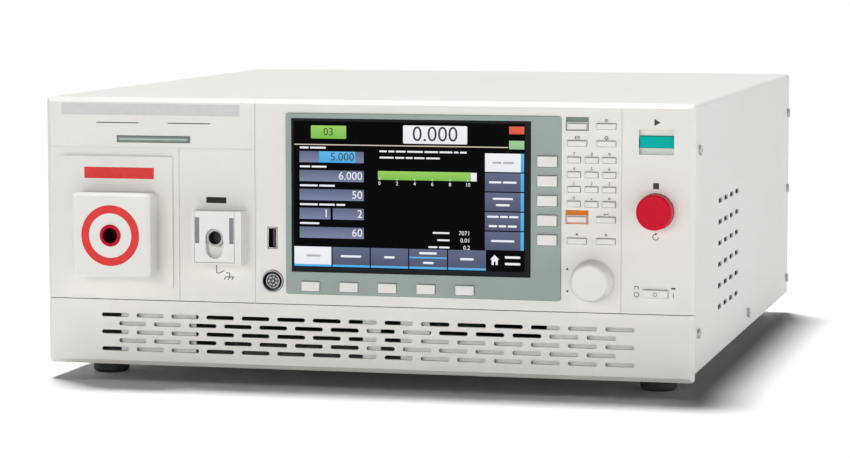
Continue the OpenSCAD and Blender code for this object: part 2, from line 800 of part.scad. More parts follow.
// Both front panels before they are parted at the seam
module front_blank() {
  difference() {
    on_front(0, panel_z + panel_h / 2) intersection() {
      bevel_block(case_w, panel_h, 0, rim_d, front_chamfer);
      slab(0, rim_d) round_rect(case_w, panel_h, front_corner);
    }
    block(left_x + rim_w, right_x - rim_w, front_y + front_t, front_y + rim_d + over,
      panel_z + rim_w, top_z - rim_w);
  }
}
module front_ears(z0, z1, spots) {
  both_sides() difference() {
    block(right_x - sheet_t - fit - ear_t, right_x - sheet_t - fit,
      front_y + front_chamfer, front_y + rim_d + ear_d, z0, z1);
    screw_holes(spots);
  }
}
module groove_up(x, z0, z1) {
  block(x - groove_w / 2, x + groove_w / 2, front_y - over, front_y + groove_t, z0, z1);
}
module front_panel() {
  color(panel_white) difference() {
    union() {
      intersection() {
        front_blank();
        block(left_x - over, right_x + over, front_y - over, front_y + rim_d + over,
          seam_z, top_z + over);
      }
      front_ears(seam_z + rim_w, top_z - rim_w, ear_screws);
      for (p = post_spots) on_front(p[0], p[1]) rod(post_r, front_t - over, board_front);
      on_front(stop_x, seam_z + start_rise)
        box(start_w + 2 * well_wall, start_h + 2 * well_wall, front_t - over, start_d + well_floor);
    }
    groove_up(low_x0, seam_z - over, seam_z + groove_rise);
    groove_up(port_x0, seam_z - over, top_z - front_chamfer);
    groove_up(stop_x0, seam_z - over, top_z - front_chamfer);
    block(left_x + front_chamfer, port_x0, front_y - over, front_y + groove_t,
      seam_z + groove_rise - groove_w / 2, seam_z + groove_rise + groove_w / 2);
    on_front(hv_x, terminal_z) rod(hv_socket_r + fit, -over, front_t + over);
    on_front(low_x, low_z) rod(low_socket_r + fit, -over, front_t + over);
    on_front(port_x, seam_z + usb_rise)
      box(usb_w + 2 * usb_wall + 2 * fit, usb_h + 2 * usb_wall + 2 * fit, -over, front_t + over);
    on_front(port_x, seam_z + remote_rise) rod(remote_r + fit, -over, front_t + over);
    on_front(left_x + lamp_inset, seam_z + lamp_rise)
      box(lamp_w + 2 * fit, lamp_h + 2 * fit, -over, front_t + over);
    on_front(bezel_x, bezel_z)
      box(bezel_w - 2 * bezel_lap + 2 * fit, bezel_h - 2 * bezel_lap + 2 * fit, -over, front_t + over);
    for (k = keypad) on_front(key_x + k[1], seam_z + k[2])
      box(k[3] + 2 * slip, key_h + 2 * slip, -over, front_t + over);
    on_front(knob_x, knob_z) rod(encoder_r + fit, -over, front_t + over);
    on_front(stop_x, seam_z + start_rise) {
      box(start_w, start_h, -over, start_d);
      box(start_w + slip, start_key_h + 2 * slip, 0, start_d + well_floor + over);
    }
    on_front(stop_x, seam_z + stop_rise) rod(stop_r + slip, -over, front_t + over);
    on_front(stop_x, seam_z + power_rise) box(power_w + 2 * slip, power_h + 2 * slip, -over, front_t + over);
  }
}
module grille_panel() {
  color(panel_white) difference() {
    union() {
      intersection() {
        front_blank();
        block(left_x - over, right_x + over, front_y - over, front_y + rim_d + over,
          panel_z - over, seam_z - seam_gap);
      }
      front_ears(floor_z + rim_w, seam_z - rim_w, grille_screws);
    }
    for (j = [0 : grille_rows - 1]) {
      cols = grille_cols - j % 2;
      z = panel_z + grille_h / 2 + (j - (grille_rows - 1) / 2) * slot_row_pitch;
      for (i = [0 : cols - 1]) on_front((i - (cols - 1) / 2) * slot_pitch, z)
        slab(-over, front_t + over) slot_shape(slot_l, slot_h);
    }
  }
}
module rear_panel() {
  x1 = right_x - sheet_t - fit;
  z1 = top_z - sheet_t - fit;
  color(case_grey) difference() {
    block(-x1, x1, rear_y - rear_flange_d, rear_y, deck_z, z1);
    block(sheet_t - x1, x1 - sheet_t, rear_y - rear_flange_d - over, rear_y - sheet_t,
      deck_z + sheet_t, z1 - sheet_t);
    both_sides() screw_holes(rear_screws);
    fan_grille();
    on_rear(inlet_x, inlet_z) box(inlet_body_w + 2 * fit, inlet_body_h + 2 * fit, -2 * sheet_t, over);
    on_rear(rear_port_x, rear_port_z + rear_port_step)
      box(dsub_long + 2 * fit, dsub_h + 2 * fit, -2 * sheet_t, over);
    on_rear(rear_port_x, rear_port_z) {
      box(dsub_short + 2 * fit, dsub_h + 2 * fit, -2 * sheet_t, over);
      translate([jack_step, 0, 0]) jack_hole(lan_w, lan_h);
      translate([-jack_step, 0, 0]) jack_hole(usb_b_w, usb_b_h);
    }
  }
}
module jack_hole(w, h) {
  box(w + 2 * jack_wall + 2 * fit, h + 2 * jack_wall + 2 * fit, -2 * sheet_t, over);
}
// Level slots whose lengths follow the fan's round air way
module fan_grille() {
  r = fan_bore_r - fan_slot_margin;
  n = floor((r - fan_slot) / fan_slot_pitch);
  for (i = [-n : n])
    on_rear(fan_x, fan_z + i * fan_slot_pitch) slab(-2 * sheet_t, over)
      slot_shape(2 * sqrt(r * r - pow(abs(i) * fan_slot_pitch + fan_slot / 2, 2)), fan_slot);
}
module feet() {
  color("#3a3a3c") for (s = feet_spots) translate([s[0], s[1], 0]) rotate_extrude()
    polygon([[0, 0], [foot_r - foot_chamfer, 0], [foot_r, foot_chamfer], [foot_r, foot_h], [0, foot_h]]);
}
module cover_screws() {
  color("#b9babc") both_sides() for (s = all_screws) translate([right_x, front_y + s[0], s[1]]) {
    rotate([0, 90, 0]) cylinder(r = screw_r, h = screw_head);
    rotate([0, -90, 0]) cylinder(r = shank_r, h = shank_l);
  }
}

// Test terminals
module hv_plate() {
  color(panel_white) on_front(plate_x, seam_z + hv_plate_rise + hv_plate_h / 2) difference() {
    slab(-hv_plate_t, 0) round_rect(hv_plate_w, hv_plate_h, hv_plate_t);
    translate([hv_shift, 0, terminal_rise - hv_plate_rise - hv_plate_h / 2])
      rod(hv_socket_r + fit, -hv_plate_t - over, over);
  }
}
module hv_block() {
  y0 = -hv_plate_t - hv_block_d;
  color(key_white) on_front(hv_x, terminal_z) difference() {
    intersection() {
      bevel_block(hv_block_w, hv_block_h, y0, -hv_plate_t, hv_bevel);
      slab(y0, -hv_plate_t) round_rect(hv_block_w, hv_block_h, hv_corner);
    }
    rod(hv_socket_r + fit, y0 - over, over);
  }
}
module hv_socket() {
  color("#c8242b") on_front(hv_x, terminal_z) difference() {
    union() {
      rod(hv_socket_r, -hv_reach, front_t + over);
      rod(hv_socket_r + nut_lap, front_t, front_t + nut_t);
      rod(hv_bore_r, front_t, front_t + hv_tail);
    }
    rod(hv_bore_r, -hv_reach - over, hv_bore_l - hv_reach);
  }
}
module low_block() {
  color(panel_white) on_front(low_x, low_z) difference() {
    translate([low_shift, 0, 0]) box(low_block_w, low_block_h, -low_block_d, 0);
    translate([0, 0, low_pocket_z + over / 2]) {
      box(low_pocket_w, low_pocket_h + over, slider_front - slip, slider_rear + slip);
      box(low_pocket_w - 2 * low_lip, low_pocket_h + over, -low_block_d - over, slider_rear);
    }
    rod(low_socket_r + fit, -low_block_d, over);
  }
}
module low_socket() {
  y0 = -low_block_d + low_lip_t;
  color("#222224") on_front(low_x, low_z) difference() {
    union() {
      rod(low_socket_r, y0, front_t + over);
      rod(low_socket_r + nut_lap, front_t, front_t + nut_t);
      rod(low_bore_r, front_t, front_t + low_tail);
    }
    rod(low_bore_r, y0 - over, y0 + low_bore_l);
  }
}
module low_slider() {
  bar_x = slider_w / 2 - low_lip - slider_bar_w / 2 - slider_bar_margin;
  bar_z = low_block_h / 2 - slider_bar_top - slider_bar_h / 2;
  color("#f2f2f4") on_front(low_x, low_z) difference() {
    translate([0, 0, slider_z]) {
      box(slider_w, slider_h, slider_front, slider_rear);
      box(slider_w - 2 * low_lip, slider_h, -low_block_d, slider_front + over);
    }
    slab(-low_block_d - over, slider_rear + over) {
      for (z = [-slider_travel, 0]) translate([0, z]) circle(low_socket_r + slip);
      translate([0, -slider_travel / 2]) square([2 * (low_socket_r + slip), slider_travel], center = true);
    }
    for (x = [-bar_x, bar_x]) translate([x, 0, bar_z])
      box(slider_bar_w, slider_bar_h, -low_block_d - over, slider_front + slider_t / 2);
  }
}

// Display
module display_bezel() {
  color(bezel_grey) difference() {
    on_front(bezel_x, bezel_z) {
      intersection() {
        bevel_block(bezel_w, bezel_h, -bezel_proud, 0, key_bevel);
        slab(-bezel_proud, 0) round_rect(bezel_w, bezel_h, bezel_corner);
      }
      box(bezel_w - 2 * bezel_lap, bezel_h - 2 * bezel_lap, 0, bezel_rear);
    }
    on_front(screen_x, screen_z) box(screen_w, screen_h, -bezel_proud - over, bezel_rear + over);
    for (k = soft_keys) on_front(k[1], k[2])
      box(k[3] + 2 * slip, k[4] + 2 * slip, -bezel_proud - over, bezel_rear + over);
  }
}
module display_module() {
  color("#15171a") on_front(screen_x, screen_z) {
    box(screen_w - 2 * fit, screen_h - 2 * fit, glass_sink - bezel_proud, bezel_rear + over);
    box(screen_w + 2 * module_lip, screen_h + 2 * module_lip, bezel_rear, bezel_rear + module_d);
  }
}
module soft_key(k) {
  color(key_white) on_front(k[1], k[2]) key(k[3], k[4], bezel_proud + key_proud, bezel_rear);
}
module pad_key(k) {
  color(key_white) on_front(key_x + k[1], seam_z + k[2]) key(k[3], key_h, key_proud, front_t);
}

// Ports and lamp
module usb_port() {
  w = usb_w + 2 * usb_wall;
  h = usb_h + 2 * usb_wall;
  color("#2b2c2e") on_front(port_x, seam_z + usb_rise) {
    difference() {
      union() {
        box(w, h, 0, usb_l + jack_back);
        box(w + 2 * usb_lap, h + 2 * usb_lap, front_t, front_t + usb_lap);
      }
      box(usb_w, usb_h, -over, usb_l);
    }
    translate([usb_w / 2 - usb_tongue_t - usb_tongue_gap, 0, 0])
      block(0, usb_tongue_t, usb_tongue_gap, usb_l + over,
        usb_tongue_gap - usb_h / 2, usb_h / 2 - usb_tongue_gap);
  }
}
module remote_connector() {
  color("#303134") on_front(port_x, seam_z + remote_rise) difference() {
    union() {
      rod(remote_r, -remote_proud, remote_l + remote_tail);
      rod(remote_r + remote_lap, front_t, front_t + nut_t);
    }
    difference() {
      rod(remote_r - remote_wall, -remote_proud - over, remote_l);
      rod(remote_core_r, remote_core_sink, remote_l + over);
    }
  }
}
module lamp_lens() {
  color("#a9b5ae") on_front(left_x + lamp_inset, seam_z + lamp_rise) {
    bevel_block(lamp_w, lamp_h, -lamp_proud, front_t + over, key_bevel);
    box(lamp_w + 2 * lamp_lap, lamp_h + 2 * lamp_lap, front_t, front_t + lamp_lap);
  }
}

// Controls
module knob() {
  color(key_white) on_front(knob_x, knob_z) {
    rotate([90, 0, 0]) rotate_extrude() {
      translate([0, knob_gap]) polygon([[0, 0], [knob_r, 0],
        [knob_face_r, knob_l - knob_round], [0, knob_l - knob_round]]);
      translate([0, knob_gap]) square([knob_face_r - knob_round, knob_l]);
      translate([knob_face_r - knob_round, knob_gap + knob_l - knob_round]) circle(knob_round);
    }
    rod(spindle_r, -knob_gap - over, board_front - slip);
  }
}
module start_button() {
  back = start_d + well_floor + flange_gap + key_flange_t;
  color("#16aea6") on_front(stop_x, seam_z + start_rise) {
    bevel_block(start_w - slip, start_key_h, start_sink, back, key_bevel);
    box(start_w - slip, start_key_h + 2 * slip + 2 * stop_flange, back - key_flange_t, back);
  }
}
module stop_button() {
  back = front_t + flange_gap + key_flange_t;
  color("#cf2637") on_front(stop_x, seam_z + stop_rise) {
    rotate([90, 0, 0]) rotate_extrude() {
      translate([0, -back]) square([stop_r, back + stop_l - stop_round]);
      translate([0, -back]) square([stop_r - stop_round, back + stop_l]);
      translate([stop_r - stop_round, stop_l - stop_round]) circle(stop_round);
    }
    rod(stop_r + slip + stop_flange, front_t + flange_gap, back);
  }
}
module power_button() {
  color(key_white) on_front(stop_x, seam_z + power_rise) key(power_w, power_h, power_proud, front_t);
}

// Boards and power parts
module key_switch(back, travel) {
  box(key_switch_w, key_switch_w, back + travel + slip, board_front + board_t / 2);
}
module switch_board() {
  soft_back = bezel_rear + flange_gap + key_flange_t;
  pad_back = front_t + flange_gap + key_flange_t;
  start_back = start_d + well_floor + flange_gap + key_flange_t;
  color("#2f6b45") difference() {
    union() {
      block(board_x0, board_x1, front_y + board_front, front_y + board_front + board_t, board_z0, board_z1);
      for (k = soft_keys) on_front(k[1], k[2]) key_switch(soft_back, key_travel);
      for (k = keypad) on_front(key_x + k[1], seam_z + k[2]) key_switch(pad_back, key_travel);
      on_front(stop_x, seam_z + start_rise) key_switch(start_back, start_travel);
      on_front(stop_x, seam_z + stop_rise) key_switch(pad_back, stop_travel);
      on_front(stop_x, seam_z + power_rise) key_switch(pad_back, power_travel);
      on_front(knob_x, knob_z) {
        box(encoder_w, encoder_w, front_t, board_front + board_t / 2);
        rod(encoder_r, 0, front_t + over);
      }
    }
    on_front(knob_x, knob_z) rod(spindle_r + spindle_gap, -over, board_front);
  }
}
module main_board() {
  y0 = front_y + main_set;
  z0 = deck_z + main_post;
  color("#2f6b45") {
    block(-main_w / 2, main_w / 2, y0, y0 + main_l, z0, z0 + board_t);
    for (x = [main_margin - main_w / 2, main_w / 2 - main_margin])
      for (y = [main_margin, main_l - main_margin])
        translate([x, y0 + y, deck_z]) cylinder(r = main_post_r, h = main_post + over);
    for (i = [0 : 2]) translate([-main_w / 4 + i * (2 * cap_r + cap_gap), y0 + cap_set, z0 + over])
      cylinder(r = cap_r, h = cap_h);
    block(main_w / 8, main_w / 8 + chip_w, y0 + chip_set, y0 + chip_set + chip_w,
      z0 + over, z0 + board_t + chip_h);
  }
}
module hv_transformer() {
  core_w = 2 * core_window + 2 * core_leg;
  core_h = core_window_h + core_leg;
  coil_w = core_leg + 2 * core_window - 2 * coil_gap;
  translate([left_x + core_inset, rear_y - core_set, deck_z]) {
    color("#55585c") difference() {
      block(-core_w / 2, core_w / 2, -core_stack / 2, core_stack / 2, 0, core_h);
      for (x = [-1, 1]) translate([x * (core_leg + core_window) / 2, 0, core_h / 2])
        box(core_window, core_window_h, -core_stack, core_stack);
    }
    color("#b07a3c") translate([0, 0, core_leg / 2 + coil_gap])
      linear_extrude(core_window_h - 2 * coil_gap) difference() {
      round_rect(coil_w, core_stack + 2 * coil_over, coil_corner);
      square([core_leg, core_stack], center = true);
    }
  }
}
module power_amplifier() {
  n = floor((sink_w - fin_t) / fin_pitch);
  color("#3b3d40") translate([right_x - sink_inset, fan_y0 - sink_gap, deck_z]) {
    block(-sink_w / 2, sink_w / 2, -sink_l, 0, 0, sink_base);
    for (i = [0 : n]) translate([(i - n / 2) * fin_pitch, 0, 0])
      block(-fin_t / 2, fin_t / 2, -sink_l, 0, sink_base - over, sink_base + sink_h);
  }
}

// Fan and rear connectors
module fan_housing() {
  color("#2a2b2d") difference() {
    union() {
      difference() {
        translate([fan_x, 0, fan_z]) box(fan_w, fan_w, fan_y0, fan_y1);
        translate([fan_x, 0, fan_z]) rod(fan_bore_r, fan_y0 - over, fan_y1 + over);
      }
      translate([fan_x, 0, fan_z]) {
        rod(fan_hub_r, fan_y0, carrier_y1);
        for (a = [45 : 90 : 315]) rotate([0, a, 0])
          block(0, fan_bore_r + over, fan_y0, carrier_y1, -strut_w / 2, strut_w / 2);
      }
    }
    translate([fan_x, 0, fan_z]) rod(fan_shaft_r + spindle_gap, fan_y0 - over, carrier_y1 + over);
  }
}
module fan_rotor() {
  r = fan_bore_r - blade_gap;
  y0 = carrier_y1 + rotor_gap;
  y1 = fan_y1 - rotor_set;
  hub_r = fan_hub_r - over;
  color("#37393c") translate([fan_x, 0, fan_z]) {
    rod(hub_r, y0, y1);
    rod(fan_shaft_r, fan_y0, y0 + over);
    intersection() {
      difference() {
        rod(r, y0, y1);
        rod(hub_r - over, y0 - over, y1 + over);
      }
      for (i = [0 : blades - 1]) rotate([0, i * 360 / blades, 0]) translate([0, (y0 + y1) / 2, 0])
        rotate([blade_angle, 0, 0]) block(hub_r - over, r + over, -fan_d, fan_d, -blade_t / 2, blade_t / 2);
    }
  }
}
module ac_inlet() {
  color("#1e1f21") on_rear(inlet_x, inlet_z) {
    difference() {
      union() {
        box(inlet_w, inlet_h, 0, flange_t);
        box(inlet_body_w, inlet_body_h, -inlet_bay_d - inlet_back, over);
        translate([0, 0, -inlet_h / 4]) box(drawer_w, drawer_h, 0, flange_t + drawer_proud);
      }
      translate([0, 0, inlet_bay_z]) box(inlet_bay_w, inlet_bay_h, flange_t - inlet_bay_d, flange_t + over);
    }
    for (x = [-1, 0, 1]) translate([x * blade_pitch, 0, inlet_bay_z + (1 - 2 * abs(x)) * blade_drop])
      box(blade_w, blade_h, flange_t - inlet_bay_d - over, flange_t - inlet_bay_d + inlet_pin);
  }
}
module dsub(w) {
  box(w + 2 * dsub_ear, dsub_flange_h, 0, flange_t);
  slab(0, shell_l) polygon([[-w / 2, dsub_h / 2], [w / 2, dsub_h / 2],
    [w / 2 - dsub_slant, -dsub_h / 2], [dsub_slant - w / 2, -dsub_h / 2]]);
  box(w, dsub_h, -dsub_back, over);
  for (x = [-1, 1]) translate([x * (w + dsub_ear) / 2, 0, 0]) rotate([-90, 0, 0])
    cylinder(r = jackscrew_r, h = shell_l, $fn = 6);
}
// A jack set in the rear panel from inside
module jack(w, h, l) {
  difference() {
    union() {
      box(w + 2 * jack_wall, h + 2 * jack_wall, -l - jack_back, jack_proud);
      box(w + 2 * jack_wall + 2 * jack_flange, h + 2 * jack_wall + 2 * jack_flange,
        -sheet_t - jack_flange, -sheet_t);
    }
    box(w, h, -l, jack_proud + over);
  }
}
module rear_connectors() {
  color("#a7a9ac") {
    on_rear(rear_port_x, rear_port_z + rear_port_step) dsub(dsub_long);
    on_rear(rear_port_x, rear_port_z) {
      dsub(dsub_short);
      translate([jack_step, 0, 0]) jack(lan_w, lan_h, lan_l);
      translate([-jack_step, 0, 0]) {
        jack(usb_b_w, usb_b_h, usb_b_l);
        box(usb_b_core_w, usb_b_core_h, -usb_b_l - over, 0);
      }
    }
    on_rear(inlet_x, floor_z + earth_rise) {
      rod(earth_r, 0, earth_l);
      rotate([-90, 0, 0]) cylinder(r = earth_r + earth_nut_lap, h = earth_nut_h, $fn = 6);
    }
  }
}

base_chassis();
top_cover();
front_panel();
grille_panel();
rear_panel();
feet();
cover_screws();
hv_plate();
hv_block();
hv_socket();
low_block();
low_socket();
low_slider();
display_bezel();
display_module();
usb_port();
remote_connector();
lamp_lens();
switch_board();
main_board();
hv_transformer();
power_amplifier();
fan_housing();
fan_rotor();
ac_inlet();
rear_connectors();
knob();
start_button();
stop_button();
power_button();
for (k = soft_keys) soft_key(k);
for (k = keypad) pad_key(k);
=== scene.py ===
import math
import bpy
import numpy as np
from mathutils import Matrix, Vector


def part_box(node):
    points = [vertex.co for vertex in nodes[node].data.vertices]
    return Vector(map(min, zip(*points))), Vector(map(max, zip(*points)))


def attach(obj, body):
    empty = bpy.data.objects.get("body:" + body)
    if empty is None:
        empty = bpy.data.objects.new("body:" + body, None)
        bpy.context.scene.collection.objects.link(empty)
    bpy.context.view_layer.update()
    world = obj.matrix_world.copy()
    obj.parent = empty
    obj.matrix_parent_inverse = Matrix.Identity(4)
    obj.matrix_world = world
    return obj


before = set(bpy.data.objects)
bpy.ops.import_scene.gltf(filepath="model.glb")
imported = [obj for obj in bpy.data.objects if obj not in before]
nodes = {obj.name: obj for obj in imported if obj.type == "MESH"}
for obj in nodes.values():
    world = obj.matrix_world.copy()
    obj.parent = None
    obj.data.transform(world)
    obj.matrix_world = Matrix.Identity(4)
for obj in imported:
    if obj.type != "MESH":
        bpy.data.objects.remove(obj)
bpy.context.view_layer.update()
mm = 0.001
print("frame loaded:", len(nodes), "nodes")


def addObject(name, data):   # a new object in the scene
    made = bpy.data.objects.new(name, data)
    bpy.context.scene.collection.objects.link(made)
    return made


# Camera: to the right of the front and a little above it; metres, degrees, and mm for lens and sensor
cameraSet = {"place": (0.49717, -2.09443, 0.28030), "tiltDown": 5.259, "turnLeft": 13.786,
             "lens": 127.4, "sensor": 36.0}
cameraData = bpy.data.cameras.new("photoCamera")
cameraData.lens = cameraSet["lens"]
cameraData.sensor_width = cameraSet["sensor"]
camera = addObject("photoCamera", cameraData)
camera.location = cameraSet["place"]
camera.rotation_euler = (math.radians(90 - cameraSet["tiltDown"]), 0, math.radians(cameraSet["turnLeft"]))
bpy.context.scene.camera = camera
bpy.context.scene.view_settings.view_transform = "Standard"   # white stays white
print("camera set")


# Shared helpers for materials
def toLinear(hexColour):   # sRGB hex to linear values
    srgb = np.array([int(hexColour[i:i + 2], 16) for i in (1, 3, 5)]) / 255
    linear = np.where(srgb <= 0.04045, srgb / 12.92, ((srgb + 0.055) / 1.055) ** 2.4)
    return (*linear.tolist(), 1.0)


def addNode(tree, kind, values=None, links=None, **settings):   # a node with its settings, values and links
    made = tree.nodes.new("ShaderNode" + kind)
    for key, value in settings.items():
        setattr(made, key, value)
    for socket, value in (values or {}).items():
        made.inputs[socket].default_value = value
    for socket, source in (links or {}).items():
        tree.links.new(source, made.inputs[socket])
    return made


def newMaterial(name, hexColour, roughness, **sockets):   # a principled shader with its constant values
    material = bpy.data.materials.new(name)
    material.use_nodes = True
    tree = material.node_tree
    shader = tree.nodes["Principled BSDF"]
    shader.inputs["Base Color"].default_value = toLinear(hexColour)
    shader.inputs["Roughness"].default_value = roughness
    for socket, value in sockets.items():
        shader.inputs[socket.replace("_", " ")].default_value = value
    return material, tree


def feed(tree, socket, source):   # a link into the principled shader
    tree.links.new(source, tree.nodes["Principled BSDF"].inputs[socket])


def objectCoords(tree):
    return addNode(tree, "TexCoord").outputs["Object"]


def twoTone(tree, source, low, high, span=(0.0, 1.0)):   # between two colours as the source runs over the span
    ramp = addNode(tree, "ValToRGB", links={"Fac": source})
    for stop, place, hexColour in zip(ramp.color_ramp.elements, span, (low, high)):
        stop.position = place
        stop.color = toLinear(hexColour)
    return ramp.outputs["Color"]


def shadeDrift(tree, light, dark, patch):
    # the colour wanders between two shades over patches of that size, in mm
    coords = objectCoords(tree)
    drift = addNode(tree, "TexNoise", {"Scale": 1 / (patch * mm), "Detail": 3.0}, {"Vector": coords})
    colour = twoTone(tree, drift.outputs["Fac"], dark, light, span=(0.3, 0.7))
    feed(tree, "Base Color", colour)
    return coords


def fineGrain(tree, coords, grain, depth, strength, rough):
    # bump and roughness from one fine noise; grain and depth in mm
    noise = addNode(tree, "TexNoise", {"Scale": 1 / (grain * mm), "Detail": 2.0}, {"Vector": coords}).outputs["Fac"]
    bump = addNode(tree, "Bump", {"Strength": strength, "Distance": depth * mm}, {"Height": noise})
    feed(tree, "Normal", bump.outputs["Normal"])
    sheen = addNode(tree, "MapRange", {"To Min": rough[0], "To Max": rough[1]}, {"Value": noise})
    feed(tree, "Roughness", sheen.outputs["Result"])


def grainedFinish(name, colour, roughness, shades, patch, grain, depth, strength, rough, **sockets):
    # a drift between two shades with one fine grain over it
    material, tree = newMaterial(name, colour, roughness, **sockets)
    coords = shadeDrift(tree, *shades, patch)
    fineGrain(tree, coords, grain, depth, strength, rough)
    return material


def placeMask(tree, tests):   # 1 where a place passes every test
    mask = None
    for source, test, limit in tests:
        passed = addNode(tree, "Math", {1: limit}, {0: source}, operation=test).outputs["Value"]
        if mask is not None:
            passed = addNode(tree, "Math", links={0: mask, 1: passed}, operation="MINIMUM").outputs["Value"]
        mask = passed
    return mask


def tintWhere(tree, mask, hexColour):   # a plain colour in place of the base colour where the mask is 1
    colour = tree.nodes["Principled BSDF"].inputs["Base Color"].links[0].from_socket
    mixed = addNode(tree, "Mix", {"B": toLinear(hexColour)}, {"Factor": mask, "A": colour}, data_type="RGBA")
    feed(tree, "Base Color", mixed.outputs["Result"])


def sizeOf(tree, source):   # a value without its sign
    return addNode(tree, "Math", links={0: source}, operation="ABSOLUTE").outputs["Value"]


def placeParts(tree):   # distance from the middle plane, depth and height of a place on the object
    place = addNode(tree, "SeparateXYZ", links={"Vector": objectCoords(tree)}).outputs
    return sizeOf(tree, place["X"]), place["Y"], place["Z"]


# Materials
def mouldedAbs(name, light, dark, roughness, grain=1.1, strength=0.12, specular=0.5):
    # moulded ABS with a spark-eroded skin: soft broad highlights and the faintest drift of shade;
    # the real grain, about 0.2 mm, is drawn coarser so that it shows
    return grainedFinish(name, light, roughness, (light, dark), patch=60, grain=grain, depth=0.05, strength=strength,
                         rough=(roughness - 0.06, roughness + 0.06), IOR=1.53, Specular_IOR_Level=specular)


def slottedAbs(name, light, dark, endShade, roughness):
    # the panel's ABS with painted shade: the end walls of the air slots are painted dark grey, as the shade inside
    # them
    material = mouldedAbs(name, light, dark, roughness)
    tree = material.node_tree
    slotShadeFrom, border = 0.3 * mm, 6 * mm   # the slots keep clear of the panel's border
    sidewaysFrom = 0.4   # share of a face's direction that makes it an end wall
    grilleLow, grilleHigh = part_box("grille_panel")
    sideways, depth, height = placeParts(tree)
    facing = addNode(tree, "SeparateXYZ", links={"Vector": addNode(tree, "TexCoord").outputs["Normal"]})
    shadedEnds = placeMask(tree, [
        (sizeOf(tree, facing.outputs["X"]), "GREATER_THAN", sidewaysFrom),
        (sideways, "LESS_THAN", grilleHigh.x - border), (height, "GREATER_THAN", grilleLow.z + border),
        (height, "LESS_THAN", grilleHigh.z - border), (depth, "GREATER_THAN", grilleLow.y + slotShadeFrom)])
    # painted shade: dark grey on the end walls of the slots
    tintWhere(tree, shadedEnds, endShade)
    return material


def powderCoat(name, light, dark, insideShade):
    # baked polyester powder on folded steel: an even satin with a slight orange peel about 1.6 mm across;
    # inside the cover, past the round of its bends, a dark grey is painted in as the shade of the closed case
    material = grainedFinish(name, light, 0.42, (light, dark), patch=120, grain=1.6, depth=0.06, strength=0.16,
                             rough=(0.36, 0.48), IOR=1.5, Specular_IOR_Level=0.15)
    tree = material.node_tree
    shadeInset = 1.1 * mm   # the bends' arcs lie up to 0.7 mm below the flat faces, the inner faces 1.5 mm
    coverLow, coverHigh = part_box("top_cover")
    sideways, depth, height = placeParts(tree)
    inside = placeMask(tree, [
        (sideways, "LESS_THAN", coverHigh.x - shadeInset), (height, "LESS_THAN", coverHigh.z - shadeInset),
        (depth, "LESS_THAN", coverHigh.y - shadeInset), (depth, "GREATER_THAN", coverLow.y + shadeInset)])
    # painted shade: dark grey on the inner faces of the cover
    tintWhere(tree, inside, insideShade)
    return material


def clearPolycarbonate(name):
    # clear polycarbonate, hazed by its mould skin: milky from the block behind it, with bright edges
    material, tree = newMaterial(name, "#f8f7f5", 0.16, IOR=1.58, Transmission_Weight=0.15)
    fineGrain(tree, objectCoords(tree), grain=1.4, depth=0.04, strength=0.1, rough=(0.1, 0.22))
    return material


def smokyAcrylic(name):
    # diffusing acrylic lens over unlit lamps: grey-green, a little see-through, glossy on top
    return grainedFinish(name, "#93a39c", 0.2, ("#a3b2aa", "#84958d"), patch=12, grain=0.8, depth=0.03, strength=0.08,
                         rough=(0.14, 0.26), IOR=1.49, Transmission_Weight=0.25, Coat_Weight=0.4)


def coatedGlass(name, light, dark):
    # touch glass with an anti-reflection coat: dark and smooth, with the faintest sheen
    return grainedFinish(name, light, 0.12, (light, dark), patch=30, grain=3.0, depth=0.01, strength=0.02,
                         rough=(0.1, 0.16), IOR=1.52, Specular_IOR_Level=0.03)


def litPixels(name, top, bottom, glow):
    # lit pixels behind the glass: they give their own light, a shade apart at a tile's head and foot
    material, tree = newMaterial(name, "#050506", 0.12, Emission_Strength=glow)
    share = addNode(tree, "Attribute", attribute_name="tileHeight")
    feed(tree, "Emission Color", twoTone(tree, share.outputs["Fac"], bottom, top))
    return material


def screenInk(name, light, dark):
    # screen-printed ink: flat colour with slightly uneven cover, a little duller than the panel
    return grainedFinish(name, light, 0.5, (light, dark), patch=4, grain=0.7, depth=0.02, strength=0.08,
                         rough=(0.45, 0.58), IOR=1.5, Specular_IOR_Level=0.25)


def mouldedRubber(name):
    # moulded rubber foot: dark, dull and slightly dusty
    return grainedFinish(name, "#2b2b2d", 0.75, ("#343436", "#232325"), patch=6, grain=0.9, depth=0.08, strength=0.3,
                         rough=(0.65, 0.85), IOR=1.52)


def platedMetal(name, light, dark):
    # bright plating on pressed metal: a mirror broken by fine tumbling marks
    return grainedFinish(name, light, 0.32, (light, dark), patch=5, grain=0.8, depth=0.03, strength=0.15,
                         rough=(0.24, 0.42), Metallic=1.0)


def primedZinc(name):
    # zinc-coated sheet under a thin white primer: pale and dull, with crystal patches 12 mm across just showing
    material, tree = newMaterial(name, "#f0f0ed", 0.5, Metallic=0.05)
    coords = objectCoords(tree)
    spangle = addNode(tree, "TexVoronoi", {"Scale": 1 / (12 * mm)}, {"Vector": coords})
    colour = twoTone(tree, spangle.outputs["Color"], "#eaeae7", "#f5f5f2")
    feed(tree, "Base Color", colour)
    fineGrain(tree, coords, grain=2.0, depth=0.03, strength=0.12, rough=(0.42, 0.58))
    return material


def goldFlash(name):
    # gold-flashed contact: warm and bright
    return grainedFinish(name, "#d8b45a", 0.25, ("#e0bd66", "#c79f47"), patch=2, grain=0.5, depth=0.02, strength=0.1,
                         rough=(0.18, 0.32), Metallic=1.0)


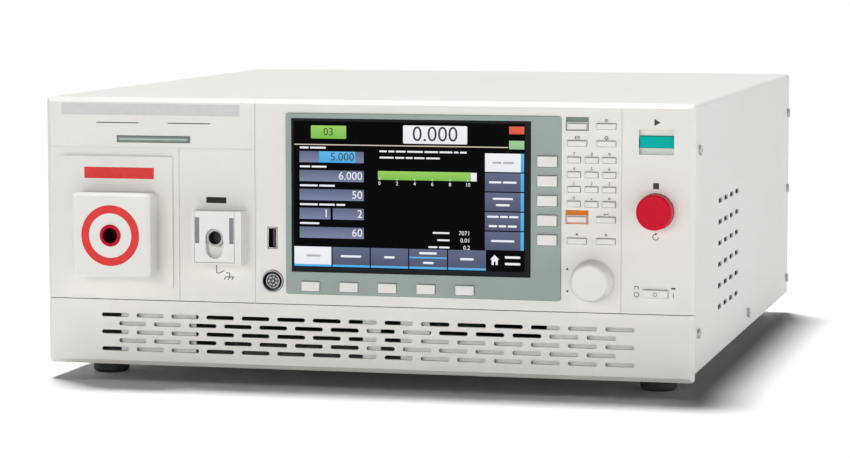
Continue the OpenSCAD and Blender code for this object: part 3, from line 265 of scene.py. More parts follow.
def solderMask(name):
    # green solder mask over copper: glossy, with the tracks just showing as paler lines 2.5 mm apart
    material, tree = newMaterial(name, "#1d5a38", 0.3, IOR=1.55)
    coords = objectCoords(tree)
    tracks = addNode(tree, "TexBrick", {
        "Color1": toLinear("#1d5a38"), "Color2": toLinear("#216340"), "Mortar": toLinear("#2f7a50"), "Scale": 1.0,
        "Mortar Size": 0.4 * mm, "Brick Width": 9 * mm, "Row Height": 2.5 * mm}, {"Vector": coords})
    feed(tree, "Base Color", tracks.outputs["Color"])
    fineGrain(tree, coords, grain=2.5, depth=0.03, strength=0.1, rough=(0.24, 0.38))
    return material


def varnishedCore(name):
    # varnished iron laminations: dark stripes half a millimetre apart, drawn at 2 mm so that they show
    material, tree = newMaterial(name, "#4a4d50", 0.45, Metallic=0.6)
    coords = objectCoords(tree)
    stripe = 2.0 * mm
    sheets = addNode(tree, "TexWave", {"Scale": math.pi / (10 * stripe), "Distortion": 0.2}, {"Vector": coords},
                     wave_type="BANDS", bands_direction="Y")
    feed(tree, "Base Color", twoTone(tree, sheets.outputs["Fac"], "#3a3c3f", "#7a5c3c"))
    fineGrain(tree, coords, grain=1.0, depth=0.05, strength=0.2, rough=(0.4, 0.55))
    return material


def anodisedSink(name):
    # dark anodised extrusion: satin metal with a fine etched grain, drawn 1.5 mm across so that it shows
    return grainedFinish(name, "#54575b", 0.4, ("#5c5f63", "#4b4e52"), patch=40, grain=1.5, depth=0.03, strength=0.15,
                         rough=(0.34, 0.48), Metallic=0.9)


panelAbs = mouldedAbs("panelAbsOffWhite", "#e8e6e0", "#e4e1db", roughness=0.46)
grilleAbs = slottedAbs("grilleAbsOffWhite", "#e8e6e0", "#e4e1db", endShade="#4a4844", roughness=0.46)
terminalAbs = mouldedAbs("terminalAbsWhite", "#e9e7e2", "#e5e3de", roughness=0.34, grain=1.0, strength=0.06)
socketAbs = mouldedAbs("socketAbsGrey", "#b9b7b4", "#b1afac", roughness=0.4, grain=0.8, strength=0.06)
keyAbs = mouldedAbs("keyAbsWhite", "#e7e5e1", "#e3e1dc", roughness=0.42, grain=0.8, strength=0.08)
bezelAbs = mouldedAbs("bezelAbsGreyGreen", "#95a49f", "#8e9d98", roughness=0.42)
redAbs = mouldedAbs("stopAbsRed", "#d20f2f", "#ca0b2a", roughness=0.26, grain=1.6, strength=0.012, specular=0.08)
tealAbs = mouldedAbs("startAbsTeal", "#00b4ac", "#00aba3", roughness=0.4, grain=1.2, strength=0.03, specular=0.04)
# dark red: painted shade for the bore of the red high-voltage socket
redBoreShade = mouldedAbs("redBoreShadeDarkRed", "#5a1218", "#4e0f14", roughness=0.5, grain=0.8, strength=0.06, specular=0.2)
blackAbs = mouldedAbs("connectorAbsBlack", "#1c1d1f", "#161718", roughness=0.4, grain=0.8, strength=0.12)
casePaint = powderCoat("casePowderCoat", "#eae9e6", "#e6e6e2", insideShade="#5d5f61")
sliderClear = clearPolycarbonate("sliderPolycarbonate")
lampAcrylic = smokyAcrylic("lampAcrylic")
screenGlass = coatedGlass("screenGlass", "#26272a", "#222326")   # printed border of the glass
footRubber = mouldedRubber("footRubber")
zincSteel = platedMetal("zincSteel", "#c9cbcd", "#a9abae")
screwNickel = platedMetal("screwNickel", "#d4d5d3", "#bfc0be")
darkShell = platedMetal("connectorShellGrey", "#5b5c5f", "#4b4c4f")
chassisZinc = primedZinc("chassisZinc")
boardMask = solderMask("boardSolderMask")
coreVarnish = varnishedCore("coreVarnish")
sinkAnodised = anodisedSink("sinkAnodised")
contactGold = goldFlash("contactGold")
inkDark = screenInk("inkDarkGrey", "#3f4144", "#37393c")
# mid grey: print on the power button, and painted shade in the screw crosses and the fuse slot
greyInkAndShade = screenInk("midGreyInkAndShade", "#6f7275", "#686b6e")
inkBand = screenInk("inkPaleGrey", "#d3d3d2", "#cdcecd")
inkBars = screenInk("inkBarGrey", "#9c9ea1", "#94969a")
inkRed = screenInk("inkRed", "#e23a35", "#da332f")
inkOrange = screenInk("inkOrange", "#d4780f", "#cc700b")
inkGreen = screenInk("inkGreyGreen", "#7d8a86", "#74817d")
highlightPale = screenInk("highlightPaleGreen", "#b9c6c0", "#b0bdb7")
inkBlack = screenInk("inkBlack", "#1b1b1c", "#161617")
print("materials made")

# Every CAD node gets its finish
keyNames = [name for name in nodes if "key_" in name]
finishes = [
    (casePaint, ["top_cover", "rear_panel"]), (chassisZinc, ["base_chassis"]),
    (panelAbs, ["front_panel", "hv_plate"]), (grilleAbs, ["grille_panel"]),
    (terminalAbs, ["hv_block", "low_block"]), (socketAbs, ["low_socket"]),
    (keyAbs, ["knob", "power_button"] + keyNames), (bezelAbs, ["display_bezel"]),
    (redAbs, ["hv_socket", "stop_button"]), (tealAbs, ["start_button"]),
    (blackAbs, ["usb_port", "ac_inlet", "fan_housing", "fan_rotor"]), (darkShell, ["remote_connector"]),
    (sliderClear, ["low_slider"]), (lampAcrylic, ["lamp_lens"]), (screenGlass, ["display_module"]),
    (footRubber, ["feet"]), (screwNickel, ["cover_screws"]), (zincSteel, ["rear_connectors"]),
    (boardMask, ["switch_board", "main_board"]), (coreVarnish, ["hv_transformer"]),
    (sinkAnodised, ["power_amplifier"]),
]
for finish, names in finishes:
    for name in names:
        nodes[name].data.materials.clear()
        nodes[name].data.materials.append(finish)
print("finishes assigned")

# Shapes are worked out flat, in millimetres: u to the right, v up, w out of the face that carries them
sides = {name: np.array([(x, y, 0), (0, 0, 1), (y, -x, 0)], float)   # directions of u, v and w in the frame
         for name, x, y in (("front", 1, 0), ("rear", -1, 0), ("right", 0, 1), ("left", 0, -1))}
thin = 0.05        # how far a shape reaches before and behind its face, unless told otherwise
inkHeight = 0.03   # how far a print stands out
pair = (-1, 1)     # for what lies to both sides of a middle


def spread(count, pitch):   # places in a row about a middle
    return (np.arange(count) - (count - 1) / 2) * pitch


def rectLoop(width, height, radius=0.05, u=0.0, v=0.0, steps=5):
    # a rectangle with quarter arcs for corners, run anticlockwise
    turn = np.radians(np.concatenate([np.linspace(start, start + 90, steps) for start in (0, 90, 180, 270)]))
    cornerU = np.repeat([1, -1, -1, 1], steps) * (width / 2 - radius)
    cornerV = np.repeat([1, 1, -1, -1], steps) * (height / 2 - radius)
    return np.stack([u + cornerU + radius * np.cos(turn), v + cornerV + radius * np.sin(turn)], 1)


def hungLoop(left, top, width, height, radius):   # a rectangle placed by its upper left corner
    return rectLoop(width, height, radius, left + width / 2, -top - height / 2)


def discLoop(radius, u=0.0, v=0.0, steps=24, start=0.0):
    # points at even angles on a circle; three steps give a triangle that points along start
    turn = np.radians(start) + np.arange(steps) * 2 * math.pi / steps
    return np.stack([u + radius * np.cos(turn), v + radius * np.sin(turn)], 1)


def strokeLoop(startPoint, endPoint, width):
    # a straight stroke: both ends set half the width to each side of the line
    ends = np.array([startPoint, endPoint], float)
    along = (ends[1] - ends[0]) / np.linalg.norm(ends[1] - ends[0])
    across = np.array([-along[1], along[0]]) * width / 2
    return np.array([ends[0] - across, ends[1] - across, ends[1] + across, ends[0] + across])


def raised(loop, front=thin, back=-thin):
    # a flat outline given thickness: one ring in front, one behind, caps and a wall between
    count = len(loop)
    points = np.concatenate([np.column_stack([loop, np.full(count, depth)]) for depth in (front, back)])
    ring = np.arange(count)
    after = np.roll(ring, -1)
    wall = np.stack([ring, ring + count, after + count, after], 1)
    return points, [ring.tolist(), (ring[::-1] + count).tolist()] + wall.tolist()


def arcBand(inner, outer, u=0.0, v=0.0, start=0.0, sweep=360.0, front=thin, steps=64):
    # a rectangular profile carried round an arc; a full turn closes on itself
    closed = sweep >= 360
    turn = np.radians(start + np.linspace(0, sweep, steps, endpoint=not closed))
    radius = np.array([inner, outer, outer, inner])
    depth = np.array([front, front, -thin, -thin])
    points = np.stack([u + np.outer(np.cos(turn), radius), v + np.outer(np.sin(turn), radius),
                       np.tile(depth, (steps, 1))], 2).reshape(-1, 3)
    rows = np.arange(steps if closed else steps - 1)[:, None] * 4
    here = np.arange(4)[None, :]
    after = (here + 1) % 4
    further = (rows + 4) % (4 * steps)
    faces = np.stack([rows + here, rows + after, further + after, further + here], 2).reshape(-1, 4).tolist()
    caps = [] if closed else [[3, 2, 1, 0], [4 * steps - 4 + i for i in range(4)]]
    return points, faces + caps


def printed(loop):   # an outline printed on a face
    return raised(loop, inkHeight)


def printedArc(inner, outer, u, v, start=0.0, sweep=360.0, steps=32):
    return arcBand(inner, outer, u, v, start, sweep, inkHeight, steps=steps)


def printedLines(lines, width, u=0.0, v=0.0):   # straight strokes from point to point, set on u, v
    return [printed(strokeLoop((u + a[0], v + a[1]), (u + b[0], v + b[1]), width)) for a, b in lines]


def turned(profile, steps=40):
    # a profile of radius and w, carried round an axis that runs along w; radius 0 closes it in a pole
    radius, depth = np.array(profile, float).T
    turn = np.arange(steps) * 2 * math.pi / steps
    points = np.stack([np.outer(np.cos(turn), radius), np.outer(np.sin(turn), radius), np.tile(depth, (steps, 1))], 2)
    count = len(radius)
    rows = np.arange(steps)[:, None] * count
    here = np.arange(count - 1)[None, :]
    further = np.roll(rows, -1, axis=0)
    faces = np.stack([rows + here, further + here, further + here + 1, rows + here + 1], 2)
    return points.reshape(-1, 3), faces.reshape(-1, 4).tolist()


def meshPoints(mesh):   # the places of a mesh's vertices, one in each row
    points = np.zeros(len(mesh.vertices) * 3, np.float32)
    mesh.vertices.foreach_get("co", points)
    return points.reshape(-1, 3)


def numerals(text, height, u, v, front, back=-thin, align="CENTER"):
    # plain numbers from the built-in face, made a mesh, scaled to their height and set on u, v
    curve = bpy.data.curves.new("numerals", "FONT")
    curve.body = text
    curve.align_x = align
    curve.align_y = "CENTER"
    curve.extrude = 0.5
    curve.resolution_u = 3
    shown = addObject("numerals", curve)
    graph = bpy.context.evaluated_depsgraph_get()
    mesh = bpy.data.meshes.new_from_object(shown.evaluated_get(graph))
    points = meshPoints(mesh).astype(float)
    faces = [list(polygon.vertices) for polygon in mesh.polygons]
    bpy.data.objects.remove(shown)
    bpy.data.curves.remove(curve)
    bpy.data.meshes.remove(mesh)
    capHeight = 0.69   # share of the font size that a numeral's height takes
    points[:, :2] = points[:, :2] * height / capHeight + (u, v)
    points[:, 2] = np.where(points[:, 2] > 0, front, back)
    return points, faces


def addPiece(name, origin, shapes, material, side="front", body="case", smooth=False):
    # joins shapes, carries them to a face of the object at an origin in metres, and makes one mesh of them
    points, faces, heights, start = [], [], [], 0
    for shapePoints, shapeFaces in shapes:
        low, high = shapePoints[:, 1].min(), shapePoints[:, 1].max()
        heights.append((shapePoints[:, 1] - low) / (high - low))
        points.append(shapePoints)
        faces += [[index + start for index in face] for face in shapeFaces]
        start += len(shapePoints)
    placed = np.array(origin, float) + np.concatenate(points) * mm @ sides[side]
    mesh = bpy.data.meshes.new(name)
    mesh.from_pydata(placed.tolist(), [], faces)
    share = mesh.attributes.new("tileHeight", "FLOAT", "POINT")   # 0 at a shape's foot, 1 at its head
    share.data.foreach_set("value", np.concatenate(heights).astype(np.float32))
    mesh.validate()
    if smooth:
        sharpFrom = 35   # degrees
        mesh.shade_smooth()
        mesh.set_sharp_from_angle(angle=math.radians(sharpFrom))
    mesh.materials.append(material)
    piece = addObject(name, mesh)
    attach(piece, body)


def middle(name):   # middle of a node's box, in metres
    low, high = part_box(name)
    return (low + high) / 2


def onFace(name):   # middle of a node's own front face
    spot = middle(name)
    spot.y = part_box(name)[0].y
    return spot


panelLow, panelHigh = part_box("front_panel")
panelZero = (0, panelLow.y, 0)   # for prints that are placed by the frame's own x and z


def onPanel(name):   # the place on the panel's face straight behind a node's middle
    spot = middle(name)
    return (spot.x, panelLow.y, spot.z)


# Prints on the upper left of the panel, measured from its corner
titleBand = {"left": 11.0, "top": 4.0, "width": 122.0, "height": 7.5, "radius": 0.3}
headLines = {"spans": ((35.0, 64.0), (84.0, 113.0)), "top": 16.5, "stroke": 0.6}
panelCorner = (panelLow.x, panelLow.y, panelHigh.z)
addPiece("titleBand", panelCorner, [printed(hungLoop(**titleBand))], inkBand)
v = -headLines["top"]
strokes = [((start, v), (end, v)) for start, end in headLines["spans"]]
addPiece("headLines", panelCorner, printedLines(strokes, headLines["stroke"]), inkDark)

# Prints on the high-voltage terminal, and liners in the bores of both terminals
hvBar = {"left": 15.8, "top": 7.3, "width": 48.0, "height": 7.4, "radius": 0.2}   # from the plate's corner
hvRing = {"inner": 14.5, "outer": 19.8, "front": 0.04, "steps": 96}
plateLow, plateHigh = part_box("hv_plate")
addPiece("hvBar", (plateLow.x, plateLow.y, plateHigh.z), [printed(hungLoop(**hvBar))], inkRed)
addPiece("hvRing", onFace("hv_block"), [arcBand(**hvRing)], inkRed)
boreLiner = {"hv": (5.1, 18.8), "low": (4.3, 8.8), "wall": 0.3, "inset": 0.5, "floor": 0.4}   # radii and depths
# in the high-voltage bore the liner's dark red is painted shade
for label, finish, slot in (("hv", redBoreShade, "red_plastic"), ("low", blackAbs, "black_plastic")):
    radius, depth = boreLiner[label]
    inside, rim, bottom = radius - boreLiner["wall"], -boreLiner["inset"], boreLiner["floor"] - depth
    profile = [(radius, rim), (radius, -depth), (0, -depth), (0, bottom), (inside, bottom), (inside, rim),
               (radius, rim)]
    addPiece(label + "BoreLiner", onFace(label + "_socket"), [turned(profile)], finish, smooth=True)
print("terminal prints made")

# Lamp lens: a dark frame line, and a pale line along its middle that is a painted highlight
lampSet = {"width": 49.2, "height": 3.4, "frame": 0.7, "frameRadius": 0.1}   # the lens face inside its bevel
lampHighlight = {"width": 46.2, "height": 0.9, "radius": 0.3}
lampWide, lampTall, line, radius = lampSet.values()
lampBars = [rectLoop(lampWide, line, radius, 0, s * (lampTall - line) / 2) for s in pair]
lampBars += [rectLoop(line, lampTall, radius, s * (lampWide - line) / 2, 0) for s in pair]
addPiece("lampFrame", onFace("lamp_lens"), [printed(bar) for bar in lampBars], inkGreen)
# painted highlight: a pale line along the lens
addPiece("lampHighlight", onFace("lamp_lens"), [printed(rectLoop(**lampHighlight))], highlightPale)

# Prints by the low terminal: a bare tab above it and a switched-earth sign below it
lowTab = {"width": 13.6, "height": 3.9, "radius": 0.3, "u": -3.8, "v": 23.5}
addPiece("lowTab", onPanel("low_block"), [printed(rectLoop(**lowTab))], inkBlack)
earthSign = {"u": -3.8, "v": -24.0, "width": 0.55}   # where the stem turns into the switch
earthLines = [((0, 6.4), (0, 0)), ((0, 0), (2.0, 0)), ((2.0, 0), (5.2, 1.8)),   # stem, contact and open lever
              ((6.4, 0.2), (8.8, 0.2)), ((8.8, 0.2), (8.8, -2.4)), ((5.8, -2.4), (11.8, -2.4)),   # lead to the bar
              ((6.2, -2.4), (5.0, -4.4)), ((8.8, -2.4), (7.6, -4.4)), ((11.4, -2.4), (10.2, -4.4))]   # prongs
addPiece("earthSign", onPanel("low_block"), printedLines(earthLines, **earthSign), inkDark)

# Grey finger bars in the slider, with fine ribs
fingerBar = {"width": 2.8, "height": 16.6, "radius": 0.4}
fingerRib = {"width": 2.3, "height": 0.7, "radius": 0.2}
fingerSet = {"recess": 3.1, "thick": 1.5, "fromSide": 2.7, "fromTop": 12.4, "ribs": 9, "reach": 0.42, "rise": 0.5,
             "sink": 0.1}   # the ribs reach over that share of the bar to each side of its middle
sliderLow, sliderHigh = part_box("low_slider")
barTop = fingerSet["thick"] - fingerSet["recess"]
barShapes = []
for s in pair:
    u = s * ((sliderHigh.x - sliderLow.x) / mm / 2 - fingerSet["fromSide"])
    v = (sliderHigh.z - sliderLow.z) / 2 / mm - fingerSet["fromTop"]
    barShapes.append(raised(rectLoop(u=u, v=v, **fingerBar), barTop, -fingerSet["recess"]))
    for up in np.linspace(-fingerSet["reach"], fingerSet["reach"], fingerSet["ribs"]) * fingerBar["height"]:
        ribLoop = rectLoop(u=u, v=v + up, **fingerRib)
        barShapes.append(raised(ribLoop, barTop + fingerSet["rise"], barTop - fingerSet["sink"]))
addPiece("sliderBars", onFace("low_slider"), barShapes, inkBars, body="low_slider")
print("low terminal details made")

# Ports: core, pins and rings of the round connector, contacts and bright frame of the USB port
remoteSet = {"sink": 0.5, "coreRadius": 4.5, "coreFront": 0.1, "coreBack": -0.3}
remotePin = {"inner": 0.375, "outer": 0.75, "front": 0.2, "steps": 16}
pinRing = {"steps": 7, "radius": 2.6, "start": math.degrees(0.45)}
remoteRing = {"inner": 6.5, "outer": 6.9, "front": 0.04}
remoteCollar = {"inner": 4.1, "outer": 4.5, "front": 0.25}
x, y, z = onPanel("remote_connector")
coreFace = (x, y + remoteSet["sink"] * mm, z)
coreLoop = discLoop(remoteSet["coreRadius"], steps=48)
addPiece("remoteCore", coreFace, [raised(coreLoop, remoteSet["coreFront"], remoteSet["coreBack"])], blackAbs)
pinSpots = [(0.0, 0.0), *discLoop(**pinRing)]   # one in the middle, seven round it
addPiece("remotePins", coreFace, [arcBand(u=u, v=v, **remotePin) for u, v in pinSpots], zincSteel)
addPiece("remoteRings", onFace("remote_connector"), [arcBand(**remoteRing)], zincSteel)
addPiece("remoteCollar", coreFace, [arcBand(**remoteCollar)], zincSteel)
usbSet = {"width": 5.1, "height": 12.5, "line": 0.55, "overhang": 1.1, "gap": 0.3, "radius": 0.1, "rise": 0.1}
usbContact = {"width": 0.12, "height": 1.0, "u": 0.19}
contactRow, contactDepth = {"count": 4, "pitch": 2.4}, (-2.0, -8.0)
addPiece("usbContacts", onPanel("usb_port"),
         [raised(rectLoop(v=up, **usbContact), *contactDepth) for up in spread(**contactRow)], contactGold)
usbWide, usbTall, line, overhang, gap, radius, rise = usbSet.values()
usbBars = [rectLoop(line, usbTall + overhang, radius, s * (usbWide / 2 + gap), 0) for s in pair]
usbBars += [rectLoop(usbWide + overhang, line, radius, 0, s * (usbTall / 2 + gap)) for s in pair]
addPiece("usbShell", onPanel("usb_port"), [raised(bar, rise) for bar in usbBars], zincSteel)
print("ports detailed")

# Key signs: numbers over the number keys and small plain signs, under 3 mm wide, over the rest
signSet = {"gap": 1.9, "flange": 0.6, "numberHeight": 2.1, "stroke": 0.34}   # a key's box includes its hidden flange
dotSign = {"radius": 0.4, "down": 0.4, "steps": 12}
arrowSign = {"radius": 1.05, "up": 0.5, "left": 180, "right": 0}
gearSign = {"inner": 0.6, "outer": 1.0, "steps": 24, "teeth": 8, "toothFrom": 0.9, "toothTo": 1.4, "toothWide": 0.42}
enterTip = {"radius": 0.62, "left": 1.1, "down": 0.2, "start": 180}
signLines = {
    "mode_2": [((-1.1, up), (1.1, up)) for up in (-0.8, 0.0, 0.8)],
    "mode_3": [((-1.2, -0.9), (1.2, -0.9)), ((1.2, -0.9), (1.2, 0.9)), ((1.2, 0.9), (-1.2, 0.9)),
               ((-1.2, 0.9), (-1.2, -0.9)), ((-1.2, 0.2), (1.2, 0.2))],
    "enter": [((1.3, 0.9), (1.3, -0.2)), ((1.3, -0.2), (-1.0, -0.2))],
    "clear": [((-0.8, -0.8), (0.8, 0.8)), ((-0.8, 0.8), (0.8, -0.8))],
}


def keySign(label, u, v):   # the shapes of one key's sign, set on u, v
    if label.isdigit():
        return [numerals(label, signSet["numberHeight"], u, v, inkHeight)]
    if label == "point":
        return [printed(discLoop(dotSign["radius"], u, v - dotSign["down"], dotSign["steps"]))]
    if label in ("left", "right"):
        return [printed(discLoop(arrowSign["radius"], u, v + arrowSign["up"], 3, arrowSign[label]))]
    shapes = printedLines(signLines.get(label, []), signSet["stroke"], u, v)
    if label == "mode_4":
        shapes.append(printedArc(gearSign["inner"], gearSign["outer"], u, v, steps=gearSign["steps"]))
        roots, tips = (discLoop(gearSign[reach], steps=gearSign["teeth"]) for reach in ("toothFrom", "toothTo"))
        shapes += printedLines(zip(roots, tips), gearSign["toothWide"], u, v)
    if label == "enter":
        tip = discLoop(enterTip["radius"], u - enterTip["left"], v - enterTip["down"], 3, enterTip["start"])
        shapes.append(printed(tip))
    return shapes


signShapes = []
for name in keyNames:
    if name.startswith("key_"):
        low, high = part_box(name)
        u, v = (low.x + high.x) / 2 / mm, high.z / mm - signSet["flange"] + signSet["gap"]
        signShapes += keySign(name.removeprefix("key_"), u, v)
addPiece("keySigns", panelZero, signShapes, inkDark)

frameSet = {"widthMargin": 1.4, "heightMargin": 1.2, "line": 0.7, "lineRadius": 0.1, "band": 3.2, "bandRadius": 0.2,
            "bandLap": 0.4}


def keyFrame(name, ink, label):
    # a filled band over a key and a thin line round it
    low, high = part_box(name)
    u, v = (low.x + high.x) / 2 / mm, (low.z + high.z) / 2 / mm
    wide, tall = (high.x - low.x) / mm + frameSet["widthMargin"], (high.z - low.z) / mm + frameSet["heightMargin"]
    line, radius, band = frameSet["line"], frameSet["lineRadius"], frameSet["band"]
    loops = [rectLoop(wide, band, frameSet["bandRadius"], u, v + tall / 2 + band / 2 - frameSet["bandLap"])]
    loops += [rectLoop(line, tall, radius, u + s * (wide - line) / 2, v) for s in pair]
    loops.append(rectLoop(wide, line, radius, u, v - tall / 2 + line / 2))
    addPiece(label, panelZero, [printed(loop) for loop in loops], ink)


keyFrame("key_mode_1", inkGreen, "modeFrame")
keyFrame("key_back", inkOrange, "backFrame")

# Signs by the knob and the large buttons
knobSign = {"left": 16.0, "rise": 7.0, "radius": 1.1}   # triangles that point up and down
knobLoops = [discLoop(knobSign["radius"], -knobSign["left"], s * knobSign["rise"], 3, s * 90) for s in pair]
addPiece("knobSigns", onPanel("knob"), [printed(loop) for loop in knobLoops], inkDark)
startSign = {"radius": 2.6, "v": 12.4, "steps": 3}
addPiece("startSign", onPanel("start_button"), [printed(discLoop(**startSign))], inkDark)
stopSquare = {"width": 3.8, "height": 3.8, "radius": 0.2, "v": 16.0}
resetArc = {"inner": 1.6, "outer": 2.1, "u": 0, "v": -16.0, "start": 70, "sweep": 290}
resetTip = {"radius": 1.0, "u": 0.2, "v": -14.15, "steps": 3}
addPiece("stopSigns", onPanel("stop_button"),
         [printed(rectLoop(**stopSquare)), printedArc(**resetArc), printed(discLoop(**resetTip))], inkDark)
offRing = {"inner": 1.2, "outer": 1.65, "u": -12.0, "v": -0.8}
onStroke = {"lines": [((11.4, -2.4), (11.4, 0.8))], "width": 0.45}
travelBars = (   # button out and button in: width, height, u and v
    (2.6, 0.45, -12.0, 4.4), (0.45, 1.8, -13.1, 3.5), (0.45, 1.8, -10.9, 3.5), (2.8, 1.0, 11.4, 3.6))
addPiece("powerSigns", onPanel("power_button"),
         [printedArc(**offRing)] + printedLines(**onStroke)
         + [printed(rectLoop(wide, tall, u=u, v=v)) for wide, tall, u, v in travelBars], inkDark)
markArc = {"inner": 1.0, "outer": 1.35, "u": 0, "v": -0.1, "start": 125, "sweep": 290}
markStroke = {"lines": [((0, 0.1), (0, 1.5))], "width": 0.35}
addPiece("powerMark", onFace("power_button"), [printedArc(**markArc)] + printedLines(**markStroke), greyInkAndShade,
         body="power_button")
print("signs made")

# Screen: generic fields, gauge and key tiles with plain numbers; mm from the screen's upper left corner
screenSet = {"width": 157.3, "height": 99.0, "lift": 0.06, "unlit": (1.4, 1.6, 153.4, 95.8), "unlitLevel": 0.5,
             "unlitRadius": 0.2}   # a tile's place is its left, top, right and bottom
pixelLooks = {   # colour at a tile's head and at its foot, and glow
    "White": ("#f6f8fc", "#eef1f8", 0.9), "Slate": ("#5a6484", "#464e70", 0.8), "Field": ("#5b6587", "#7d88ab", 0.8),
    "Sky": ("#56b8ee", "#3fa6e4", 0.9), "Green": ("#9ed85a", "#7cc43c", 0.85), "Pale": ("#a9dca0", "#98d08e", 0.8),
    "Red": ("#ee5a34", "#e24722", 0.85), "Cream": ("#f1e3cf", "#f1e3cf", 0.75), "Silver": ("#c9cbd2", "#c9cbd2", 0.7),
    "Ink": ("#2c2e34", "#2c2e34", 0.6),
}
pixels = {name: litPixels("pixels" + name, *look) for name, look in pixelLooks.items()}
pixels["Unlit"] = coatedGlass("screenUnlitPixels", "#050506", "#030304")
glassLow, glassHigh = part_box("display_module")
screenCorner = ((glassLow.x + glassHigh.x) / 2 - screenSet["width"] / 2 * mm, glassLow.y,
                (glassLow.z + glassHigh.z) / 2 + screenSet["height"] / 2 * mm)
base, over, text = 1, 2, 3   # levels: what lies on a lower one stands a little further out


def onScreen(loop, level):
    lift = screenSet["lift"] * level
    return raised(loop, lift, lift - thin)


def tile(left, top, right, bottom, level=base, radius=0.15):   # a lit rectangle
    return onScreen(rectLoop(right - left, bottom - top, radius, (left + right) / 2, -(top + bottom) / 2), level)


def screenNumber(value, height, u, down, level=over, align="CENTER"):
    lift = screenSet["lift"] * level
    return numerals(value, height, u, -down, lift, lift - thin, align)


def screenPiece(name, shapes, look):
    addPiece(name, screenCorner, shapes, pixels[look])


wordGap = 0.9   # between the bars that stand for words


def wordBars(left, down, lengths, thick, share=0.0):
    # plain bars in a row, each as long as a word would be; that share of the row reaches past left
    left -= share * (sum(lengths) + wordGap * (len(lengths) - 1))
    starts = left + np.concatenate([[0], np.cumsum(np.array(lengths[:-1]) + wordGap)])
    return [tile(start, down - thick / 2, start + length, down + thick / 2, over, thick * 0.4)
            for start, length in zip(starts, lengths)]


# Tiles: five fields on the left, five keys on the right, five along the foot, and the head
fieldSet = {"tops": (21.0, 33.2, 45.4, 57.6, 69.8), "left": 5.2, "right": 48.0, "height": 7.2, "halves": (25.8, 27.4),
            "chosen": (18.4, 42.5)}   # the fourth field is split, the first has its number chosen
sideSet = {"left": 127.6, "right": 150.8, "edge": 152.9, "top": 20.6, "pitch": 12.45, "height": 11.7}
footSet = {"left": 1.6, "pitch": 25.5, "width": 24.7, "top": 82.6, "bottom": 94.0, "edge": 95.4, "rule": (87.6, 88.6)}
headSet = {"state": (74, 3.6, 116, 15.2), "mode": (12.9, 4.4, 36.4, 12.8), "rule": (1.8, 16.4, 142.6, 17.0),
           "redTag": (143.2, 3.4, 153, 8.2), "paleTag": (143.2, 12.4, 153, 17.8)}
gaugeSet = {"full": (57.4, 33.0, 118.4, 38.6), "spare": (118.4, 33.2, 122.2, 38.6), "first": 58.4, "step": 11.6,
            "marks": 6, "markHalf": 0.2, "markTop": 37.4, "markFoot": 38.9, "numbers": 41.0, "numberHeight": 2.3}
softRound, hardRound, markRound = 0.8, 0.1, 0.05   # corner radii
fieldTops = fieldSet["tops"]
sideTops = [sideSet["top"] + i * sideSet["pitch"] for i in range(5)]
footLefts = [footSet["left"] + i * footSet["pitch"] for i in range(5)]


def fieldTile(top, left=fieldSet["left"], right=fieldSet["right"], level=base):
    return tile(left, top, right, top + fieldSet["height"], level)


def sideTile(top, left=sideSet["left"], right=sideSet["right"]):
    return tile(left, top, right, top + sideSet["height"])


def footTile(left, top=footSet["top"], bottom=footSet["bottom"], level=base):
    return tile(left, top, left + footSet["width"], bottom, level)


splitTop = fieldTops[3]
leftHalf, rightHalf = fieldSet["halves"]
screenPiece("screenBlack", [tile(*screenSet["unlit"], screenSet["unlitLevel"], screenSet["unlitRadius"])], "Unlit")
screenPiece("screenFields", [fieldTile(top) for top in fieldTops if top != splitTop]
            + [fieldTile(splitTop, right=leftHalf), fieldTile(splitTop, left=rightHalf)], "Field")
screenPiece("screenTiles", [sideTile(top) for top in sideTops[1:]] + [footTile(left) for left in footLefts[1:]],
            "Slate")
whites = [tile(*headSet["state"], base, softRound), tile(*gaugeSet["spare"], base, hardRound)]
screenPiece("screenWhites", [sideTile(sideTops[0]), footTile(footLefts[0])] + whites, "White")
edges = [sideTile(top, sideSet["right"], sideSet["edge"]) for top in sideTops]
edges += [footTile(left, footSet["bottom"], footSet["edge"]) for left in footLefts]
edges += [fieldTile(fieldTops[0], *fieldSet["chosen"], over), footTile(footLefts[3], *footSet["rule"], over)]
screenPiece("screenEdges", edges, "Sky")
screenPiece("screenGreens", [tile(*headSet["mode"], base, softRound), tile(*gaugeSet["full"], base, hardRound)],
            "Green")
for name, spot, look in (("TagPale", "paleTag", "Pale"), ("TagRed", "redTag", "Red"), ("Rule", "rule", "Cream")):
    screenPiece("screen" + name, [tile(*headSet[spot])], look)

# Bars for the words of the screen, by lengths in mm
fieldWords = {"lengths": ((6.0, 10.5), (7.0, 10.0), (12.0, 10.5), (12.0, 10.5, 6.0), (13.0,)), "left": 5.4, "up": 2.3,
              "thick": 1.2}
noteWords = ({"left": 58.4, "down": 20.4, "lengths": (5.0, 4.0, 6.5, 10.5, 9.0, 8.5, 3.0, 4.5), "thick": 1.1},
             {"left": 58.4, "down": 24.4, "lengths": (9.5, 6.0, 4.6, 7.0, 9.0), "thick": 1.1})
readingSet = {"lengths": ((11.0,), (8.0,), (6.0, 7.0)), "values": ("7071", "0.01", "0.2"), "wordsRight": 104.5,
              "right": 118, "top": 72.0, "pitch": 4.6, "thick": 1.1, "height": 2.6}
sideWords = {"rows": (((8.0, 9.0),), ((13.0,), (9.0,)), ((7.5, 5.0, 6.0), (5.5, 5.0, 6.0)), ((15.0,),)),
             "apart": (0, 4.0, 6.0, 0), "middle": 139.2, "down": 5.9, "thick": 1.3}
footWords = {"lengths": (13.5, 7.0, 11.5, 9.0), "middle": 12.3, "downs": (88.4, 88.4, 85.2, 88.4), "thick": 1.4}
secondWord = {"left": footLefts[3] + 9.0, "down": 91.4, "lengths": (7.0,), "thick": 1.4}   # on the third key
